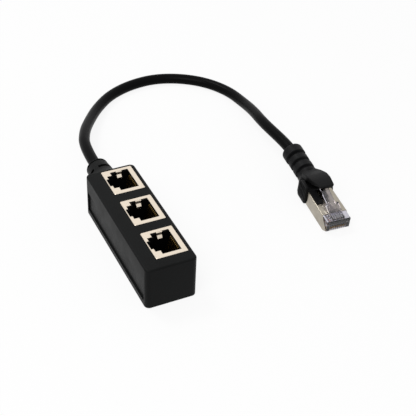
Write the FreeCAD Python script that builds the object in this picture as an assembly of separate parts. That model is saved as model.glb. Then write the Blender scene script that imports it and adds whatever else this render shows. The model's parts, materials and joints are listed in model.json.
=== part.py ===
"""A three-way network splitter: a moulded housing with three shielded sockets, a lead and a plug.

The housing stands on its flat base with the socket mouths facing up. X is across the housing,
Y runs along it towards the lead, and Z is up. The origin is at the middle of the base.
All sizes are in millimetres.
"""

import FreeCAD, Part
import math
import os

V = FreeCAD.Vector

# Housing: a shell that is open below, closed by a flat cover
HOUSING_WIDTH = 22.0
HOUSING_END_ROOM = 11.8
HOUSING_HEIGHT = 19.8
WALL = 1.2
ROOF = 1.6
CORNER_RADIUS = 2.2
TOP_EDGE_RADIUS = 0.8
FOOT_EDGE = 0.3

# Sunk panel in the left side, backed by a pad of the same depth inside
PANEL_DEPTH = 0.7
PANEL_END_MARGIN = 2.6
PANEL_BOTTOM = 2.6
PANEL_TOP = 12.1
PANEL_PAD_MARGIN = 0.6

# Cover: it sits in a rebate of the walls and carries the board and the sockets
COVER_THICKNESS = 1.6
REBATE = 0.6
COVER_FIT = 0.05
RAIL_HEIGHT = 1.2
RAIL_WIDTH = 1.0
SUPPORT_WIDTH = 2.0
SUPPORT_LENGTH = 9.0

# Sockets: a folded metal can round a black insulator
JACK_COUNT = 3
JACK_PITCH = 22.0
JACK_ROW_Y = 2.0
CAN_X = 2.4
CAN_HEIGHT = 13.7
CAN_WIDTH = 16.6
CAN_FLOOR_GAP = 2.8
CAN_SHEET = 0.3
CAN_EDGE_RADIUS = 0.5
CAN_EDGE_BREAK = 0.2
CAN_PROUD = 0.2
CAN_LIP = 3.0
CAN_FIT = 0.1
TAB_WIDTH = 1.0
TAB_UPPER_DEPTH = 5.4
TAB_LOWER_LIFT = 0.7

# Mouth of the can, measured from the contact side towards the latch side
MOUTH_MARGIN = 2.2
MOUTH_WIDTH = 13.2
MOUTH_HEIGHT = 8.05
STEP_WIDTH = 8.8
STEP_HEIGHT = 2.1
NOTCH_WIDTH = 5.0

# Bay of the insulator, a little inside the can's mouth
BAY_INSET = 0.05
BAY_WIDTH = 12.0
BAY_HEIGHT = 7.4
BAY_FLOOR_LIFT = 2.65
LATCH_BAY_WIDTH = 8.0
LATCH_BAY_HEIGHT = 2.1
LATCH_SLOT_WIDTH = 4.4
LATCH_SLOT_WALL = 0.5
INSULATOR_FIT = 0.05
PEG_RADIUS = 1.2
PEG_SPREAD = 10.2
PEG_DEPTH_Z = 6.5
COMB_HEIGHT = 1.2
COMB_LENGTH = 4.2

# Contacts of a socket: eight flat wires
CONTACT_COUNT = 8
CONTACT_PITCH = 1.02
CONTACT_WIDTH = 0.45
CONTACT_THICKNESS = 0.3
CONTACT_BEND = 0.35
CONTACT_SLOT = 0.62
CONTACT_LEG_INSET = 0.75
CONTACT_TOP_Z = 1.55
CONTACT_TIP_REACH = 3.5
CONTACT_TIP_LIFT = 0.65
CONTACT_ROW_SPACING = 0.8
CONTACT_ROW_DEPTH = 0.7
CONTACT_TAIL = 0.9

# Ground springs folded in from the two long edges of the mouth
SPRING_WIDTH = 2.6
SPRING_SLOT_FIT = 0.25
SPRING_BULGE = 0.9
SPRING_BULGE_Z = 2.1
SPRING_LENGTH = 4.2

# Circuit board: it stands upright behind the sockets, on the cover
BOARD_THICKNESS = 1.6
BOARD_FIT = 0.05
BOARD_HEADROOM = 0.3
BOARD_END_GAP = 0.2
BOARD_NOTCH_DEPTH = 1.4
BOARD_NOTCH_MARGIN = 0.2
HOLE_FIT = 0.1
PIN_SIDES = 6
GUIDE_WIDTH = 1.0
GUIDE_LENGTH = 1.6

# Ribs under the roof between the sockets
ROOF_RIB_THICKNESS = 1.2
ROOF_RIB_DROP = 5.0

# Strain relief: a hollow bell that carries the lead out of the far end
ROUND_SIDES = 32
BELL_LENGTH = 15.5
BELL_BASE_RADIUS = 9.6
BELL_WAIST_RADIUS = 5.6
BELL_WAIST_AT = 8.8
BELL_FLARE_DEPTH = 0.9
BELL_FLARE_STEPS = 5
BELL_NECK_RADIUS = 5.0
BELL_RING_LENGTH = 0.7
BELL_LIP_CHAMFER = 0.3
BELL_RING_GROOVE = 0.6
BELL_RING_GROOVE_RADIUS = 4.4
BELL_SLOT_WIDTH = 1.1
BELL_SLOT_FLOOR = 4.4
BELL_SLOT_WEB = 60.0
BELL_COLLAR_RADIUS = 7.6
BELL_COLLAR_FIT = 0.05
BELL_BORE_FLARE_RADIUS = 6.8
BELL_HELD_LENGTH = 7.0
BELL_FLARE_END = 2.2

# Lead and the wires in it
CORD_DIAMETER = 5.2
CORD_SIDES = 12
CORD_FIT = 0.05
CORD_HEIGHT = 9.9
CORD_ENTRY_DEPTH = 1.0
CORD_FIRST_RUN = 17.7
CORD_LAST_RUN = 13.3
WIRE_DIAMETER = 0.65
WIRE_COUNT = 8
WIRE_CIRCLE = 1.5
WIRE_COLUMN_PITCH = 0.9
WIRE_SIDES = 6
WIRE_CORNER_DROP = 0.3
WIRE_PAD_LENGTH = 2.6

# Free part of the route, on the floor apart from its two ends
CORD_ROUTE = [
    (5.1, 80.5, 8.1),
    (12.8, 93.7, 5.1),
    (20.6, 104.7, 3.2),
    (30.8, 114.2, 2.6),
    (43.5, 119.5, 2.6),
    (57.6, 120.7, 2.6),
    (70.7, 116.1, 2.6),
    (81.6, 107.4, 2.6),
    (88.6, 95.4, 2.6),
    (90.1, 81.7, 3.6),
    (88.8, 68.4, 6.8),
    (85.5, 53.2, 10.0),
]

# Plug: where it lies, nose down on the floor
PLUG_X = 84.2
PLUG_Y = -20.6
PLUG_YAW = -3.5
PLUG_PITCH = 6.5

# Plug body, with its latch moulded on
PLUG_WIDTH = 11.8
PLUG_TOP = 6.7
PLUG_LENGTH = 21.5
PLUG_SHEET = 0.25
PLUG_FIT = 0.05
NOSE_LENGTH = 4.8
NOSE_CHAMFER_HEIGHT = 1.2
NOSE_CHAMFER_LENGTH = 2.4
BELLY_PLATE_START = 8.5
WIRE_LEVEL = 2.9
WIRE_HOLE_FIT = 0.08
WIRE_STOP = 1.4
REAR_BAY_START = 10.5
REAR_BAY_WIDTH = 9.0
REAR_BAY_FLOOR = 1.2
REAR_BAY_ROOF = 0.5
BLADE_SLOT_WIDTH = 0.5
BLADE_SLOT_LENGTH = 6.4
LATCH_ROOT_WIDTH = 6.0
LATCH_TAIL_WIDTH = 3.8
LATCH_SHOULDER = 8.2
LATCH_LENGTH = 17.0
LATCH_RISE = 4.1
LATCH_THICKNESS = 0.9
LATCH_ROOT_START = 0.9
LUG_LENGTH = 1.3
LUG_HEIGHT = 0.8

# Plug contacts: eight gold blades
BLADE_THICKNESS = 0.35
BLADE_START = 1.2
BLADE_END = 5.9
BLADE_RECESS = 0.45
BLADE_BACK = 2.0
BLADE_TINE = 0.9

# Plug shield and its crimp collar
SHIELD_LENGTH = 20.6
SHIELD_NOSE_Y = 0.5
SHIELD_NOSE_Z = 2.2
CRIMP_LENGTH = 4.2
CRIMP_THICKNESS = 0.3
CRIMP_STRAP_WIDTH = 1.0
JACKET_PLUG_GAP = 2.5

# Boot: hood over the latch, two wings, a tapered body and a ribbed tail
BOOT_WIDTH = 14.0
BOOT_BELLY = 0.7
BOOT_ROOF = 0.8
BOOT_START = 19.8
BOOT_BLOCK_END = 25.5
BOOT_NECK_START = 31.5
BOOT_END = 48.5
BOOT_AXIS_Z = 5.0
BOOT_NECK_RADIUS = 4.7
BOOT_RING_RADIUS = 4.9
BOOT_POCKET_DEPTH = 2.2
BOOT_FIT = 0.05
FLAP_START = 11.3
FLAP_REACH = 5.3
FLAP_GAP = 0.2
FLAP_THICKNESS = 0.35
HOOD_START = 15.6
HOOD_UNDERSIDE = 11.35
HOOD_THICKNESS = 1.25
HOOD_FRONT_WIDTH = 8.0
HOOD_REAR_WIDTH = 11.4
HOOD_EDGE_RADIUS = 0.6
CORNER_CHORDS = 3
WING_THICKNESS = 1.05
WING_LIFT = 1.9
WING_FRONT_TOP = 9.8
WING_REAR_TOP = 10.2
GRIP_COUNT = 5
GRIP_PITCH = 1.15
GRIP_WIDTH = 0.55
GRIP_HEIGHT = 0.3
RIB_GROOVE_COUNT = 3
RIB_GROOVE_FIRST = 33.2
RIB_GROOVE_PITCH = 4.9
RIB_GROOVE_WIDTH = 1.3
RIB_GROOVE_FLOOR = 3.4
RIB_WEB_WIDTH = 1.8

# Places that follow from the sizes above
HALF_W = HOUSING_WIDTH / 2
HOUSING_LENGTH = JACK_PITCH * (JACK_COUNT - 1) + 2 * HOUSING_END_ROOM
HALF_L = HOUSING_LENGTH / 2
ROOF_UNDERSIDE = HOUSING_HEIGHT - ROOF
MOUTH_Z = HOUSING_HEIGHT + CAN_PROUD
CAN_LATCH_X = CAN_X - CAN_HEIGHT / 2
CAN_CONTACT_X = CAN_X + CAN_HEIGHT / 2
CAN_FLOOR_Z = COVER_THICKNESS + CAN_FLOOR_GAP
MOUTH_CONTACT_X = CAN_CONTACT_X - MOUTH_MARGIN
MOUTH_LATCH_X = MOUTH_CONTACT_X - MOUTH_HEIGHT
BAY_CONTACT_X = MOUTH_CONTACT_X - BAY_INSET
BAY_LATCH_X = BAY_CONTACT_X - BAY_HEIGHT
INSULATOR_TOP_Z = MOUTH_Z - CAN_SHEET - INSULATOR_FIT
BAY_FLOOR_Z = CAN_FLOOR_Z + BAY_FLOOR_LIFT
CONTACT_LEG_X = BAY_CONTACT_X + CONTACT_LEG_INSET
CONTACT_ROW_Z = BAY_FLOOR_Z - CONTACT_ROW_DEPTH
BOARD_FACE_X = CAN_LATCH_X
BOARD_BACK_X = BOARD_FACE_X - BOARD_THICKNESS
BOARD_BOTTOM_Z = COVER_THICKNESS + BOARD_FIT
BOARD_TOP_Z = ROOF_UNDERSIDE - BOARD_HEADROOM
BOARD_NEAR_Y = -HALF_L + WALL + BOARD_END_GAP
BOARD_FAR_Y = HALF_L - WALL - BOARD_END_GAP
BELL_MOUTH_Y = HALF_L + BELL_LENGTH
JACKET_END_Y = BELL_MOUTH_Y - BELL_HELD_LENGTH
CORD_RADIUS = CORD_DIAMETER / 2
JACKET_PLUG_END_Y = PLUG_LENGTH + JACKET_PLUG_GAP
BODY_WIDTH = PLUG_WIDTH - 2 * (PLUG_SHEET + PLUG_FIT)
BODY_TOP = PLUG_TOP - PLUG_SHEET - PLUG_FIT


def box(x0, x1, y0, y1, z0, z1):
    """A plain box between two corners."""
    return Part.makeBox(x1 - x0, y1 - y0, z1 - z0, V(x0, y0, z0))


def upright_rounded_box(x0, x1, y0, y1, z0, z1, radius):
    """A box whose four upright edges are rounded."""
    block = box(x0, x1, y0, y1, z0, z1)
    upright = [e for e in block.Edges if abs(e.tangentAt(e.FirstParameter).z) > 0.99]
    return block.makeFillet(radius, upright)


def prism_x(outline, x0, x1):
    """A solid from an outline of (y, z) points, running from x0 to x1."""
    points = [V(x0, y, z) for y, z in outline]
    return Part.Face(Part.makePolygon(points + points[:1])).extrude(V(x1 - x0, 0, 0))


def prism_z(outline, z0, z1):
    """A solid from an outline of (x, y) points, running from z0 to z1."""
    points = [V(x, y, z0) for x, y in outline]
    return Part.Face(Part.makePolygon(points + points[:1])).extrude(V(0, 0, z1 - z0))


def pin_x(radius, x0, x1, y, z):
    """A small eight-sided pin or hole along X."""
    return round_bar(V(x0, y, z), V(x1, y, z), 2 * radius, PIN_SIDES)


def cylinder_y(radius, y0, y1, x, z):
    return Part.makeCylinder(radius, y1 - y0, V(x, y0, z), V(0, 1, 0))


def joined(solids):
    """One solid from pieces that overlap or share faces."""
    solid = solids[0].fuse(solids[1:])
    return solid.removeSplitter()


def group(solids):
    """Separate solids of one kind that belong to one node."""
    return Part.makeCompound(solids)


def bend_at(before, corner, after, radius):
    """The two ends, the middle and the centre of a round bend between two runs."""
    back = (before - corner).normalize()
    ahead = (after - corner).normalize()
    half_open = back.getAngle(ahead) / 2
    reach = radius / math.tan(half_open)
    start = corner + back * reach
    end = corner + ahead * reach
    centre = corner + (back + ahead).normalize() * (radius / math.sin(half_open))
    middle = centre + (corner - centre).normalize() * radius
    return start, middle, end, centre


def flat_strip(path, thickness, bend, place, width):
    """A strip of sheet that follows a flat path, with each bend cut off by one short flat.

    path holds (u, v) points, place(u, v) puts one in space, and width is the strip's
    width as a vector.
    """
    points = [V(u, v, 0) for u, v in path]
    half = thickness / 2
    sides = []
    for sign in (1, -1):
        first = (points[1] - points[0]).normalize()
        last = (points[-1] - points[-2]).normalize()
        side = [points[0] + V(-first.y, first.x, 0) * (sign * half)]
        for before, corner, after in zip(points, points[1:], points[2:]):
            start, _, end, centre = bend_at(before, corner, after, bend)
            turns_left = (corner - before).cross(after - corner).z > 0
            radius = bend - half if (sign > 0) == turns_left else bend + half
            side += [centre + (p - centre).normalize() * radius for p in (start, end)]
        side.append(points[-1] + V(-last.y, last.x, 0) * (sign * half))
        sides.append(side)
    outline = [place(p.x, p.y) for p in sides[0] + sides[1][::-1]]
    return Part.Face(Part.makePolygon(outline + outline[:1])).extrude(width)


def round_section(centre, direction, diameter, sides):
    """A many-sided ring across a direction, with its corners on a circle."""
    along = V(*direction).normalize()
    across = along.cross(V(0, 0, 1)).normalize()
    up = across.cross(along)
    corners = []
    for k in range(sides):
        angle = 2 * math.pi * (k + 0.5) / sides
        corners.append(centre + (across * math.cos(angle) + up * math.sin(angle)) * (diameter / 2))
    return Part.makePolygon(corners + corners[:1])


def round_bar(start, end, diameter, sides):
    """A straight bar with many flat sides."""
    section = round_section(start, end - start, diameter, sides)
    return Part.Face(section).extrude(end - start)


def wire_run(points, diameter):
    """A thin wire along straight runs that meet in mitres."""
    section = round_section(points[0], points[1] - points[0], diameter, WIRE_SIDES)
    return Part.makePolygon(points).makePipeShell([section], True, False, 1)


def tube(points, diameter):
    """A tube along straight runs joined by tangent arcs, the arcs' radii and its length.

    Each arc is as large as its two runs allow.
    """
    edges = []
    radii = []
    here = points[0]
    for before, corner, after in zip(points, points[1:], points[2:]):
        shorter = min(before.distanceToPoint(corner), corner.distanceToPoint(after))
        turn = (corner - before).getAngle(after - corner)
        radius = 0.45 * shorter / math.tan(turn / 2)
        start, middle, end, _ = bend_at(before, corner, after, radius)
        edges.append(Part.LineSegment(here, start).toShape())
        edges.append(Part.Arc(start, middle, end).toShape())
        radii.append(radius)
        here = end
    edges.append(Part.LineSegment(here, points[-1]).toShape())
    path = Part.Wire(edges)
    section = round_section(points[0], points[1] - points[0], diameter, CORD_SIDES)
    return path.makePipeShell([section], True, False), radii, path.Length


def jack_centres():
    first = JACK_ROW_Y - JACK_PITCH * (JACK_COUNT - 1) / 2
    return [first + JACK_PITCH * k for k in range(JACK_COUNT)]


def contact_offsets(count=CONTACT_COUNT):
    return [CONTACT_PITCH * (k - (count - 1) / 2) for k in range(count)]


def moved(solid, y):
    copy = solid.copy()
    copy.translate(V(0, y, 0))
    return copy


def rebate_outline(clearance, z0, z1):
    """The space of the cover between the walls, shrunk by a clearance."""
    inset = WALL - REBATE + clearance
    return upright_rounded_box(
        -HALF_W + inset,
        HALF_W - inset,
        -HALF_L + inset,
        HALF_L - inset,
        z0,
        z1,
        CORNER_RADIUS - inset,
    )


def housing_shell():
    """The moulded shell: five thin walls, three windows, a sunk panel and a hole for the bell."""
    shell = upright_rounded_box(
        -HALF_W, HALF_W, -HALF_L, HALF_L, 0, HOUSING_HEIGHT, CORNER_RADIUS
    )
    rim = [e for e in shell.Edges if e.BoundBox.ZMin > HOUSING_HEIGHT - 0.01]
    shell = shell.makeFillet(TOP_EDGE_RADIUS, rim)
    foot = [e for e in shell.Edges if e.BoundBox.ZMax < 0.01]
    shell = shell.makeChamfer(FOOT_EDGE, foot)
    inner = upright_rounded_box(
        -HALF_W + WALL,
        HALF_W - WALL,
        -HALF_L + WALL,
        HALF_L - WALL,
        -1,
        ROOF_UNDERSIDE,
        CORNER_RADIUS - WALL,
    )
    pad = box(
        -HALF_W + WALL,
        -HALF_W + WALL + PANEL_DEPTH,
        -HALF_L + PANEL_END_MARGIN - PANEL_PAD_MARGIN,
        HALF_L - PANEL_END_MARGIN + PANEL_PAD_MARGIN,
        PANEL_BOTTOM - PANEL_PAD_MARGIN,
        PANEL_TOP + PANEL_PAD_MARGIN,
    )
    shell = shell.cut(inner.cut(pad))
    shell = shell.cut(rebate_outline(0, -1, COVER_THICKNESS))
    panel = box(
        -HALF_W - 1,
        -HALF_W + PANEL_DEPTH,
        -HALF_L + PANEL_END_MARGIN,
        HALF_L - PANEL_END_MARGIN,
        PANEL_BOTTOM,
        PANEL_TOP,
    )
    shell = shell.cut(panel)
    bell_hole = cylinder_y(
        BELL_COLLAR_RADIUS + BELL_COLLAR_FIT, HALF_L - WALL - 0.5, HALF_L + 1, 0, CORD_HEIGHT
    )
    shell = shell.cut(bell_hole)
    for y in jack_centres():
        shell = shell.cut(
            box(
                CAN_LATCH_X - CAN_FIT,
                CAN_CONTACT_X + CAN_FIT,
                y - CAN_WIDTH / 2 - CAN_FIT,
                y + CAN_WIDTH / 2 + CAN_FIT,
                ROOF_UNDERSIDE - 1,
                HOUSING_HEIGHT + 1,
            )
        )
    return joined([shell] + roof_ribs() + board_guides())


def roof_ribs():
    """Cross ribs that hang from the roof between neighbouring sockets."""
    centres = jack_centres()
    middles = [(a + b) / 2 for a, b in zip(centres, centres[1:])]
    return [
        box(
            BOARD_FACE_X + CAN_FIT,
            HALF_W - WALL + 0.1,
            y - ROOF_RIB_THICKNESS / 2,
            y + ROOF_RIB_THICKNESS / 2,
            ROOF_UNDERSIDE - ROOF_RIB_DROP,
            ROOF_UNDERSIDE + 0.1,
        )
        for y in middles
    ]


def board_guides():
    """Two upright ribs on the near wall that hold the end of the board between them."""
    faces = [BOARD_BACK_X - BOARD_FIT - GUIDE_WIDTH, BOARD_FACE_X + BOARD_FIT]
    wall = -HALF_L + WALL
    bottom = 2 * COVER_THICKNESS
    top = ROOF_UNDERSIDE + 0.1
    return [
        box(x, x + GUIDE_WIDTH, wall - 0.1, wall + GUIDE_LENGTH, bottom, top)
        for x in faces
    ]


def base_cover():
    """The flat cover, with two rails for the board and a support under each can."""
    plate = rebate_outline(COVER_FIT, 0, COVER_THICKNESS)
    rail_faces = [BOARD_BACK_X - BOARD_FIT - RAIL_WIDTH, BOARD_FACE_X + BOARD_FIT]
    rails = [
        box(
            x,
            x + RAIL_WIDTH,
            BOARD_NEAR_Y + GUIDE_LENGTH,
            BOARD_FAR_Y,
            COVER_THICKNESS - 0.1,
            COVER_THICKNESS + RAIL_HEIGHT,
        )
        for x in rail_faces
    ]
    supports = [
        box(
            CAN_X - SUPPORT_LENGTH / 2,
            CAN_X + SUPPORT_LENGTH / 2,
            y - SUPPORT_WIDTH / 2,
            y + SUPPORT_WIDTH / 2,
            COVER_THICKNESS - 0.1,
            CAN_FLOOR_Z - COVER_FIT,
        )
        for y in jack_centres()
    ]
    return joined([plate] + rails + supports)


def mouth_outline(grow):
    """The stepped outline of a socket's mouth in (x, y), grown by a margin all round."""
    latch_wall = CAN_LATCH_X + CAN_SHEET
    step_x = MOUTH_LATCH_X - STEP_HEIGHT
    half = [
        (MOUTH_CONTACT_X + grow, MOUTH_WIDTH / 2 + grow),
        (MOUTH_LATCH_X - grow, MOUTH_WIDTH / 2 + grow),
        (MOUTH_LATCH_X - grow, STEP_WIDTH / 2 + grow),
        (step_x - grow, STEP_WIDTH / 2 + grow),
        (step_x - grow, NOTCH_WIDTH / 2 + grow),
        (latch_wall, NOTCH_WIDTH / 2 + grow),
    ]
    return half + [(x, -y) for x, y in reversed(half)]


def spring_path():
    """The middle line of a ground spring in (y, z), from the can's face into the bay."""
    edge = MOUTH_WIDTH / 2
    face_z = MOUTH_Z - CAN_SHEET / 2
    return [
        (edge + 0.6, face_z),
        (edge - 0.15, face_z),
        (edge - 0.35, MOUTH_Z - 0.9),
        (edge - SPRING_BULGE, MOUTH_Z - SPRING_BULGE_Z),
        (edge, MOUTH_Z - SPRING_LENGTH),
    ]


def ground_spring(side):
    middle = (MOUTH_CONTACT_X + MOUTH_LATCH_X) / 2
    return flat_strip(
        spring_path(),
        CAN_SHEET,
        CONTACT_BEND,
        lambda u, v: V(middle - SPRING_WIDTH / 2, side * u, v),
        V(SPRING_WIDTH, 0, 0),
    )


def can_tabs():
    """Four solder tabs that pass through the board."""
    tail = BOARD_BACK_X - CONTACT_TAIL
    wall = CAN_WIDTH / 2
    return [
        box(tail, CAN_LATCH_X + 1, y, y + CAN_SHEET, z - TAB_WIDTH / 2, z + TAB_WIDTH / 2)
        for y in (-wall, wall - CAN_SHEET)
        for z in (MOUTH_Z - TAB_UPPER_DEPTH, CAN_FLOOR_Z + TAB_LOWER_LIFT)
    ]


def jack_shield():
    """The folded can: face with a stepped mouth, walls, floor, springs and solder tabs."""
    half = CAN_WIDTH / 2
    can = upright_rounded_box(
        CAN_LATCH_X, CAN_CONTACT_X, -half, half, CAN_FLOOR_Z, MOUTH_Z, CAN_EDGE_RADIUS
    )
    face_edges = [e for e in can.Edges if e.BoundBox.ZMin > MOUTH_Z - 0.01]
    can = can.makeChamfer(CAN_EDGE_BREAK, face_edges)
    hollow = box(
        CAN_LATCH_X + CAN_SHEET,
        CAN_CONTACT_X - CAN_SHEET,
        -half + CAN_SHEET,
        half - CAN_SHEET,
        CAN_FLOOR_Z + CAN_SHEET,
        MOUTH_Z - CAN_SHEET,
    )
    board_side = box(
        CAN_LATCH_X - 1,
        CAN_LATCH_X + CAN_SHEET + 0.3,
        -half + CAN_SHEET,
        half - CAN_SHEET,
        CAN_FLOOR_Z - 1,
        MOUTH_Z - CAN_LIP,
    )
    mouth = prism_z(mouth_outline(0), MOUTH_Z - 1, MOUTH_Z + 1)
    can = can.cut([hollow, board_side, mouth])
    return joined([can, ground_spring(1), ground_spring(-1)] + can_tabs())


def contact_path(row):
    """The middle line of a contact wire in (x, z), from its tail behind the board to its tip."""
    row_z = CONTACT_ROW_Z - CONTACT_ROW_SPACING * row
    top = MOUTH_Z - CONTACT_TOP_Z
    return [
        (BOARD_BACK_X - CONTACT_TAIL, row_z),
        (CONTACT_LEG_X, row_z),
        (CONTACT_LEG_X, top),
        (BAY_CONTACT_X - CONTACT_BEND / 2, top),
        (BAY_CONTACT_X - CONTACT_TIP_REACH, BAY_FLOOR_Z + CONTACT_TIP_LIFT),
    ]


def jack_contacts():
    wires = []
    for k, y in enumerate(contact_offsets()):
        wires.append(
            flat_strip(
                contact_path(k % 2),
                CONTACT_THICKNESS,
                CONTACT_BEND,
                lambda u, v, y=y: V(u, y - CONTACT_WIDTH / 2, v),
                V(0, CONTACT_WIDTH, 0),
            )
        )
    return group(wires)


def insulator_bay():
    """The space for a plug: a main bay, a wider latch bay and a narrow latch slot."""
    top = INSULATOR_TOP_Z + 1
    step_x = BAY_LATCH_X - LATCH_BAY_HEIGHT
    slot_x = CAN_LATCH_X + CAN_SHEET + LATCH_SLOT_WALL
    main = box(BAY_LATCH_X, BAY_CONTACT_X, -BAY_WIDTH / 2, BAY_WIDTH / 2, BAY_FLOOR_Z, top)
    latch = box(
        step_x, BAY_LATCH_X + 1, -LATCH_BAY_WIDTH / 2, LATCH_BAY_WIDTH / 2, BAY_FLOOR_Z, top
    )
    slot = box(
        slot_x, step_x + 1, -LATCH_SLOT_WIDTH / 2, LATCH_SLOT_WIDTH / 2, BAY_FLOOR_Z, top
    )
    return joined([main, latch, slot])


def contact_slot(y):
    """The channel that one contact wire runs in, along the floor and up the contact side."""
    y0, y1 = y - CONTACT_SLOT / 2, y + CONTACT_SLOT / 2
    leg_back = CONTACT_LEG_X + 0.3
    floor_top = CONTACT_ROW_Z + 0.3
    floor_bottom = CONTACT_ROW_Z - CONTACT_ROW_SPACING - 0.3
    head = MOUTH_Z - CONTACT_TOP_Z + 0.35
    floor = box(CAN_LATCH_X - 1, leg_back, y0, y1, floor_bottom, floor_top)
    leg = box(BAY_CONTACT_X - 0.1, leg_back, y0, y1, floor_bottom, head)
    return [floor, leg]


def spring_slot(side):
    """The room behind a ground spring, in the side of the bay."""
    middle = (MOUTH_CONTACT_X + MOUTH_LATCH_X) / 2
    half = SPRING_WIDTH / 2 + SPRING_SLOT_FIT
    inner = BAY_WIDTH / 2 - 0.1
    outer = MOUTH_WIDTH / 2 + CAN_SHEET / 2 + SPRING_SLOT_FIT
    y0, y1 = sorted((side * inner, side * outer))
    return box(
        middle - half,
        middle + half,
        y0,
        y1,
        MOUTH_Z - SPRING_LENGTH - SPRING_SLOT_FIT,
        INSULATOR_TOP_Z + 1,
    )


def contact_comb():
    """Low teeth at the foot of the bay that keep the tips of the contacts apart."""
    half = CONTACT_PITCH * CONTACT_COUNT / 2
    comb = box(
        BAY_CONTACT_X - COMB_LENGTH,
        BAY_CONTACT_X + 0.1,
        -half,
        half,
        BAY_FLOOR_Z - 0.1,
        BAY_FLOOR_Z + COMB_HEIGHT,
    )
    gaps = [
        box(
            BAY_CONTACT_X - COMB_LENGTH - 1,
            BAY_CONTACT_X + 0.1,
            y - CONTACT_SLOT / 2,
            y + CONTACT_SLOT / 2,
            BAY_FLOOR_Z,
            BAY_FLOOR_Z + COMB_HEIGHT + 1,
        )
        for y in contact_offsets()
    ]
    return comb.cut(gaps)


def jack_insulator():
    """The black block in the can, with the plug's bay, the contact channels and two pegs."""
    half = CAN_WIDTH / 2 - CAN_SHEET - INSULATOR_FIT
    contact_face = CAN_CONTACT_X - CAN_SHEET - INSULATOR_FIT
    floor = CAN_FLOOR_Z + CAN_SHEET + INSULATOR_FIT
    block = box(CAN_LATCH_X, contact_face, -half, half, floor, INSULATOR_TOP_Z)
    lip = box(
        CAN_LATCH_X - 1,
        CAN_LATCH_X + CAN_SHEET + INSULATOR_FIT,
        -half - 1,
        half + 1,
        MOUTH_Z - CAN_LIP - INSULATOR_FIT,
        MOUTH_Z,
    )
    block = block.cut([lip, insulator_bay(), spring_slot(1), spring_slot(-1)])
    block = joined([block, contact_comb()])
    for y in contact_offsets():
        block = block.cut(contact_slot(y))
    pegs = [
        pin_x(PEG_RADIUS, BOARD_BACK_X, CAN_LATCH_X + 0.2, y, MOUTH_Z - PEG_DEPTH_Z)
        for y in (-PEG_SPREAD / 2, PEG_SPREAD / 2)
    ]
    return joined([block] + pegs)


def circuit_board():
    """The upright board: holes for the sockets, and a notch where the wires come round its end."""
    board = box(
        BOARD_BACK_X, BOARD_FACE_X, BOARD_NEAR_Y, BOARD_FAR_Y, BOARD_BOTTOM_Z, BOARD_TOP_Z
    )
    x0, x1 = BOARD_BACK_X - 1, BOARD_FACE_X + 1
    holes = []
    for centre in jack_centres():
        for k, y in enumerate(contact_offsets()):
            z = CONTACT_ROW_Z - CONTACT_ROW_SPACING * (k % 2)
            holes.append(pin_x(CONTACT_WIDTH / 2 + 2 * HOLE_FIT, x0, x1, centre + y, z))
        for y in (-PEG_SPREAD / 2, PEG_SPREAD / 2):
            holes.append(pin_x(PEG_RADIUS + HOLE_FIT, x0, x1, centre + y, MOUTH_Z - PEG_DEPTH_Z))
        for tab in can_tabs():
            b = tab.BoundBox
            f = HOLE_FIT
            holes.append(
                box(x0, x1, centre + b.YMin - f, centre + b.YMax + f, b.ZMin - f, b.ZMax + f)
            )
    notch_half = WIRE_COLUMN_PITCH * (WIRE_COUNT - 1) / 2 + WIRE_DIAMETER / 2 + BOARD_NOTCH_MARGIN
    holes.append(
        box(
            x0,
            x1,
            BOARD_FAR_Y - BOARD_NOTCH_DEPTH,
            BOARD_FAR_Y + 1,
            CORD_HEIGHT - notch_half,
            CORD_HEIGHT + notch_half,
        )
    )
    return board.cut(holes)


def skinned(rings):
    """A solid through rings of corner points; a side that isn't flat is split into two triangles."""
    faces = [Part.Face(Part.makePolygon(ring + ring[:1])) for ring in (rings[0], rings[-1])]
    for here, following in zip(rings, rings[1:]):
        for k in range(len(here)):
            a, b, c, d = here[k - 1], here[k], following[k], following[k - 1]
            if abs((b - a).cross(c - a).dot(d - a)) < 1e-6:
                sides = [[a, b, c, d, a]]
            else:
                sides = [[a, b, c, a], [a, c, d, a]]
            faces += [Part.Face(Part.makePolygon(side)) for side in sides]
    shell = Part.makeShell(faces)
    shell.sewShape()
    solid = Part.Solid(shell)
    if solid.Volume < 0:
        solid.reverse()
    return solid


def turned(stations, axis_z):
    """A round solid along the lead's line, drawn with flat sides through (y, radius) stations."""
    rings = []
    for y, radius in stations:
        angles = [2 * math.pi * (k + 0.5) / ROUND_SIDES for k in range(ROUND_SIDES)]
        rings.append([V(radius * math.cos(a), y, axis_z + radius * math.sin(a)) for a in angles])
    return skinned(rings)


def round_hole(stations, axis_z):
    """The same solid made large enough for a true round of the stated radius to pass."""
    grow = 1 / math.cos(math.pi / ROUND_SIDES)
    return turned([(y, radius * grow) for y, radius in stations], axis_z)


def bell_flare():
    """The bell's outer line as (y, radius): a hollow flare, a slow taper, a groove and the lip."""
    stations = []
    for k in range(BELL_FLARE_STEPS + 1):
        t = k / BELL_FLARE_STEPS
        chord = BELL_BASE_RADIUS + (BELL_WAIST_RADIUS - BELL_BASE_RADIUS) * t
        stations.append((HALF_L + BELL_WAIST_AT * t, chord - BELL_FLARE_DEPTH * 4 * t * (1 - t)))
    ring_y = BELL_MOUTH_Y - BELL_RING_LENGTH
    return stations + [
        (ring_y - BELL_RING_GROOVE, BELL_NECK_RADIUS),
        (ring_y - BELL_RING_GROOVE, BELL_RING_GROOVE_RADIUS),
        (ring_y, BELL_RING_GROOVE_RADIUS),
        (ring_y, BELL_NECK_RADIUS),
        (BELL_MOUTH_Y - BELL_LIP_CHAMFER, BELL_NECK_RADIUS),
        (BELL_MOUTH_Y, BELL_NECK_RADIUS - BELL_LIP_CHAMFER),
    ]


def slot_ring(outer, inner, y0, y1, axis_z):
    return turned([(y0, outer), (y1, outer)], axis_z).cut(
        turned([(y0 - 1, inner), (y1 + 1, inner)], axis_z)
    )


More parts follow.
